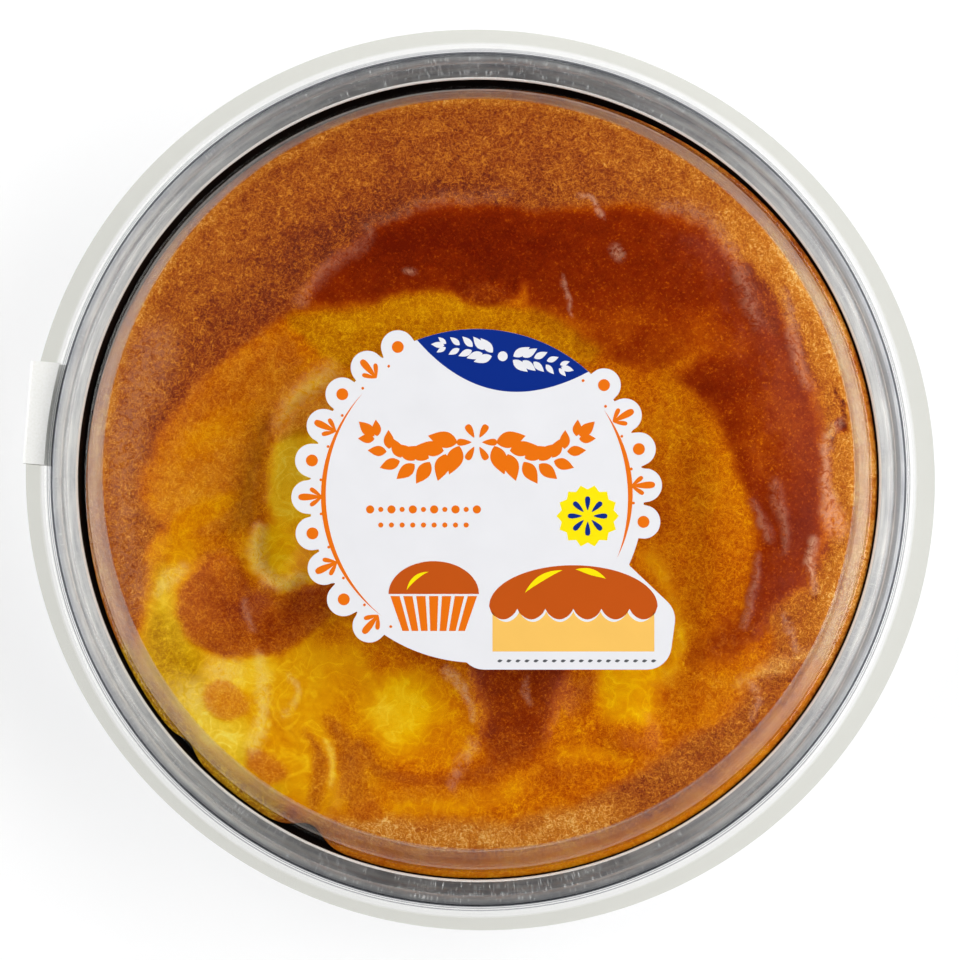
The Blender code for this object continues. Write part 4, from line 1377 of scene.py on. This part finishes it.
class CREAMCAKE_OT_label(bpy.types.Operator):
    """Makes the die-cut label and its print"""

    bl_idname = "creamcake.label"
    bl_label = "Label"

    def execute(self, context):
        settings = context.scene.creamcake_label
        angles = np.linspace(0, 2 * math.pi, 900, endpoint=False)
        sheet = polar(label_reach(angles), np.degrees(angles)) + LABEL_CENTRE
        points, faces = prisms([sheet], LABEL_SHEET_LOW, [LABEL_SHEET_TOP])
        paper = ink_material("coated_paper", settings.paper)
        piece("label_sheet", points, faces, paper, ("label",))
        for name, outlines, level, code in print_shapes(settings):
            low = LABEL_SHEET_TOP + (level - 1) * INK_STEP - INK_SINK
            tops = LABEL_SHEET_TOP + (level - np.linspace(0.6, 0, len(outlines))) * INK_STEP
            points, faces = prisms([outline + LABEL_CENTRE for outline in outlines], low, tops)
            piece(name, points, faces, ink_material(name + "_ink", code))
        return {"FINISHED"}


# Seal


def paper_tape_material():
    """Thin paper tape: off-white and matt, with fibres that show against the light."""
    material = bpy.data.materials.new("paper_tape")
    node = cleared(material)
    fibre = node("TexNoise", node("TexCoord").outputs["Object"], per_mm(0.6), 3.0)
    colour = node("ValToRGB", fibre, stops=((0.3, "#F7F7F3"), (0.7, "#FFFFFD")))
    bump = node("Bump", Height=fibre, Strength=0.3, Distance=0.06 * MM)
    face = node("BsdfPrincipled", Base_Color=colour, Roughness=0.62, Normal=bump)
    node("OutputMaterial", node("MixShader", 0.12, face, node("BsdfTranslucent", colour)))
    return material


def seal_line(aside, thickness):
    """The strip's outer face at a distance aside along the fold, as (reach, height)."""
    over = LID_FLANGE_HEIGHT + SEAL_CLEARANCE + thickness
    lean = math.atan2(MOUTH_RADIUS - BASE_RADIUS, FLANGE_HEIGHT - TRAY_WALL)
    clear = (TRAY_WALL + SEAL_CLEARANCE + thickness) / math.cos(lean)
    touch = tray_wall_radius(SEAL_TOUCH_HEIGHT) + clear
    low = tray_wall_radius(SEAL_LOW_HEIGHT) + clear
    return rounded(
        (
            (math.sqrt(SEAL_INNER_RADIUS**2 - aside**2), over, 0),
            (SEAL_FOLD_REACH, over, 0.8),
            (SEAL_FOLD_REACH, LID_FLANGE_HEIGHT - SEAL_FOLD_DROP, 1.5),
            (math.sqrt(touch**2 - aside**2), SEAL_TOUCH_HEIGHT, 5.0),
            (math.sqrt(low**2 - aside**2), SEAL_LOW_HEIGHT, 0),
        )
    )


class SealSettings(bpy.types.PropertyGroup):
    """What a user may change on the seal."""

    thickness: FloatProperty(
        name="Thickness",
        description="The tape's thickness",
        default=0.18 * MM,
        unit="LENGTH",
        subtype="DISTANCE",
    )


class CREAMCAKE_OT_seal(bpy.types.Operator):
    """Makes the paper seal folded over the lid's flange"""

    bl_idname = "creamcake.seal"
    bl_label = "Seal"

    def execute(self, context):
        thickness = context.scene.creamcake_seal.thickness / MM
        angle = math.radians(SEAL_ANGLE)
        outward = np.array((math.cos(angle), math.sin(angle), 0.0))
        along = np.array((-math.sin(angle), math.cos(angle), 0.0))
        rings = []
        for aside in np.linspace(*SEAL_ENDS, SEAL_STATIONS):
            line = seal_line(aside, thickness)
            section = np.vstack((line, offset(line, thickness)[::-1]))
            rings.append(aside * along + section[:, :1] * outward + section[:, 1:] * (0, 0, 1))
        rings = np.array(rings)
        count = rings.shape[1]
        faces = grid_faces(len(rings), count, True).tolist()
        faces.append(np.arange(count)[::-1].tolist())
        faces.append(((len(rings) - 1) * count + np.arange(count)).tolist())
        piece("paper_seal", rings.reshape(-1, 3), faces, paper_tape_material(), ("seal",))
        return {"FINISHED"}


# Stage

SENSOR = 36.0
AIM = (0.37, -0.54, FLANGE_HEIGHT)
CLIP_END = 10.0
FLOOR_HALF = 3.0  # metres, as are the floor's level and the soft boxes
FLOOR_LEVEL = -0.0002
FLOOR_CORNERS = ((-1, -1), (1, -1), (1, 1), (-1, 1))
SKY_TONES = ((0.0, "#F6F6F6"), (0.2, "#D8D8DA"), (0.5, "#303034"), (0.7, "#141416"))  # from the horizon up
# Soft boxes: (azimuth from +X, elevation, distance m, width m, height m, strength factor).
SOFT_BOXES = (
    (6.0, 38.0, 1.1, 1.6, 0.9, 1.14),
    (170.0, 38.0, 1.1, 1.6, 0.9, 0.77),
)


def sky():
    """A plain studio: pale near the horizon, dark overhead, and one even tone where the camera sees it."""
    world = bpy.data.worlds.new("studio")
    node = cleared(world)
    height = node("SeparateXYZ", node("TexCoord").outputs["Generated"]).outputs["Z"]
    tone = node("ValToRGB", height, stops=SKY_TONES)
    seen = node("LightPath").outputs["Is Camera Ray"]
    light, plain = (node("Background", colour, 1.0) for colour in (tone, "#F4F4F4"))
    node("OutputWorld", node("MixShader", seen, light, plain))
    bpy.context.scene.world = world


def facing(direction):
    """The turn that points an object's -Z along a direction, with its top upwards."""
    return Vector(direction).to_track_quat("-Z", "Y").to_euler()


class StageSettings(bpy.types.PropertyGroup):
    """The camera and the light."""

    distance: FloatProperty(
        name="Distance",
        description="Camera to the tray's flange",
        default=1.25,
        unit="LENGTH",
        subtype="DISTANCE",
    )
    elevation: FloatProperty(
        name="Elevation", description="Camera above the horizon", default=math.radians(87.0), subtype="ANGLE"
    )
    width: FloatProperty(
        name="Width", description="What the picture spans at the flange", default=0.239, unit="LENGTH"
    )
    box_strength: FloatProperty(name="Box", description="Radiance of the soft boxes", default=2.9)
    table: StringProperty(name="Table", description="The table's colour, sRGB", default="#B4B4B4")


class CREAMCAKE_OT_stage(bpy.types.Operator):
    """Makes the floor, the soft light and the camera"""

    bl_idname = "creamcake.stage"
    bl_label = "Stage"

    def execute(self, context):
        settings = context.scene.creamcake_stage
        scene = context.scene
        scene.view_settings.view_transform = "Standard"
        sky()
        mesh = bpy.data.meshes.new("floor")
        corners = [(x * FLOOR_HALF, y * FLOOR_HALF, FLOOR_LEVEL) for x, y in FLOOR_CORNERS]
        mesh.from_pydata(corners, [], [(0, 1, 2, 3)])
        material = bpy.data.materials.new("pale_table")
        node = cleared(material)
        glow = {"Emission_Color": "#FFFFFF", "Emission_Strength": 0.52}
        node("OutputMaterial", node("BsdfPrincipled", settings.table, Roughness=0.9, **glow))
        mesh.materials.append(material)
        floor = bpy.data.objects.new("floor", mesh)
        scene.collection.objects.link(floor)
        for k, (azimuth, elevation, distance, width, height, factor) in enumerate(SOFT_BOXES):
            light = bpy.data.lights.new(f"soft_box_{k}", "AREA")
            light.shape = "RECTANGLE"
            light.size = width
            light.size_y = height
            light.energy = settings.box_strength * factor * 4 * width * height
            lamp = bpy.data.objects.new(f"soft_box_{k}", light)
            a, e = math.radians(azimuth), math.radians(elevation)
            way = np.array((math.cos(a) * math.cos(e), math.sin(a) * math.cos(e), math.sin(e)))
            lamp.location = distance * way
            lamp.rotation_euler = facing(-way)
            lamp.visible_camera = False
            scene.collection.objects.link(lamp)
        camera = bpy.data.cameras.new("camera")
        camera.sensor_width = SENSOR
        camera.lens = SENSOR * settings.distance / settings.width
        camera.clip_end = CLIP_END
        viewer = bpy.data.objects.new("camera", camera)
        way = np.array((0.0, -math.cos(settings.elevation), math.sin(settings.elevation)))
        viewer.location = np.array(AIM) * MM + settings.distance * way
        viewer.rotation_euler = facing(-way)
        scene.collection.objects.link(viewer)
        scene.camera = viewer
        return {"FINISHED"}


class CREAMCAKE_PT_panel(bpy.types.Panel):
    """Lists the pieces in the 3D view's sidebar"""

    bl_idname = "CREAMCAKE_PT_panel"
    bl_label = "Cream Cake"
    bl_space_type = "VIEW_3D"
    bl_region_type = "UI"
    bl_category = "Cream Cake"

    def draw(self, context):
        for name in STEPS:
            self.layout.operator("creamcake." + name)


STEPS = {
    "stage": (StageSettings, CREAMCAKE_OT_stage),
    "tray": (TraySettings, CREAMCAKE_OT_tray),
    "cake": (CakeSettings, CREAMCAKE_OT_cake),
    "lid": (LidSettings, CREAMCAKE_OT_lid),
    "label": (LabelSettings, CREAMCAKE_OT_label),
    "seal": (SealSettings, CREAMCAKE_OT_seal),
}
CLASSES = (*(each for pair in STEPS.values() for each in pair), CREAMCAKE_PT_panel)


def register():
    """Registers the classes and hangs the settings on the scene."""
    for each in CLASSES:
        bpy.utils.register_class(each)
    for name, (group, _) in STEPS.items():
        setattr(bpy.types.Scene, "creamcake_" + name, PointerProperty(type=group))


def unregister():
    """Takes the settings and the classes away again."""
    for name in STEPS:
        delattr(bpy.types.Scene, "creamcake_" + name)
    for each in reversed(CLASSES):
        bpy.utils.unregister_class(each)


def main():
    """Makes every piece in order."""
    register()
    for name in STEPS:
        getattr(bpy.ops.creamcake, name)()


if __name__ == "__main__":
    main()
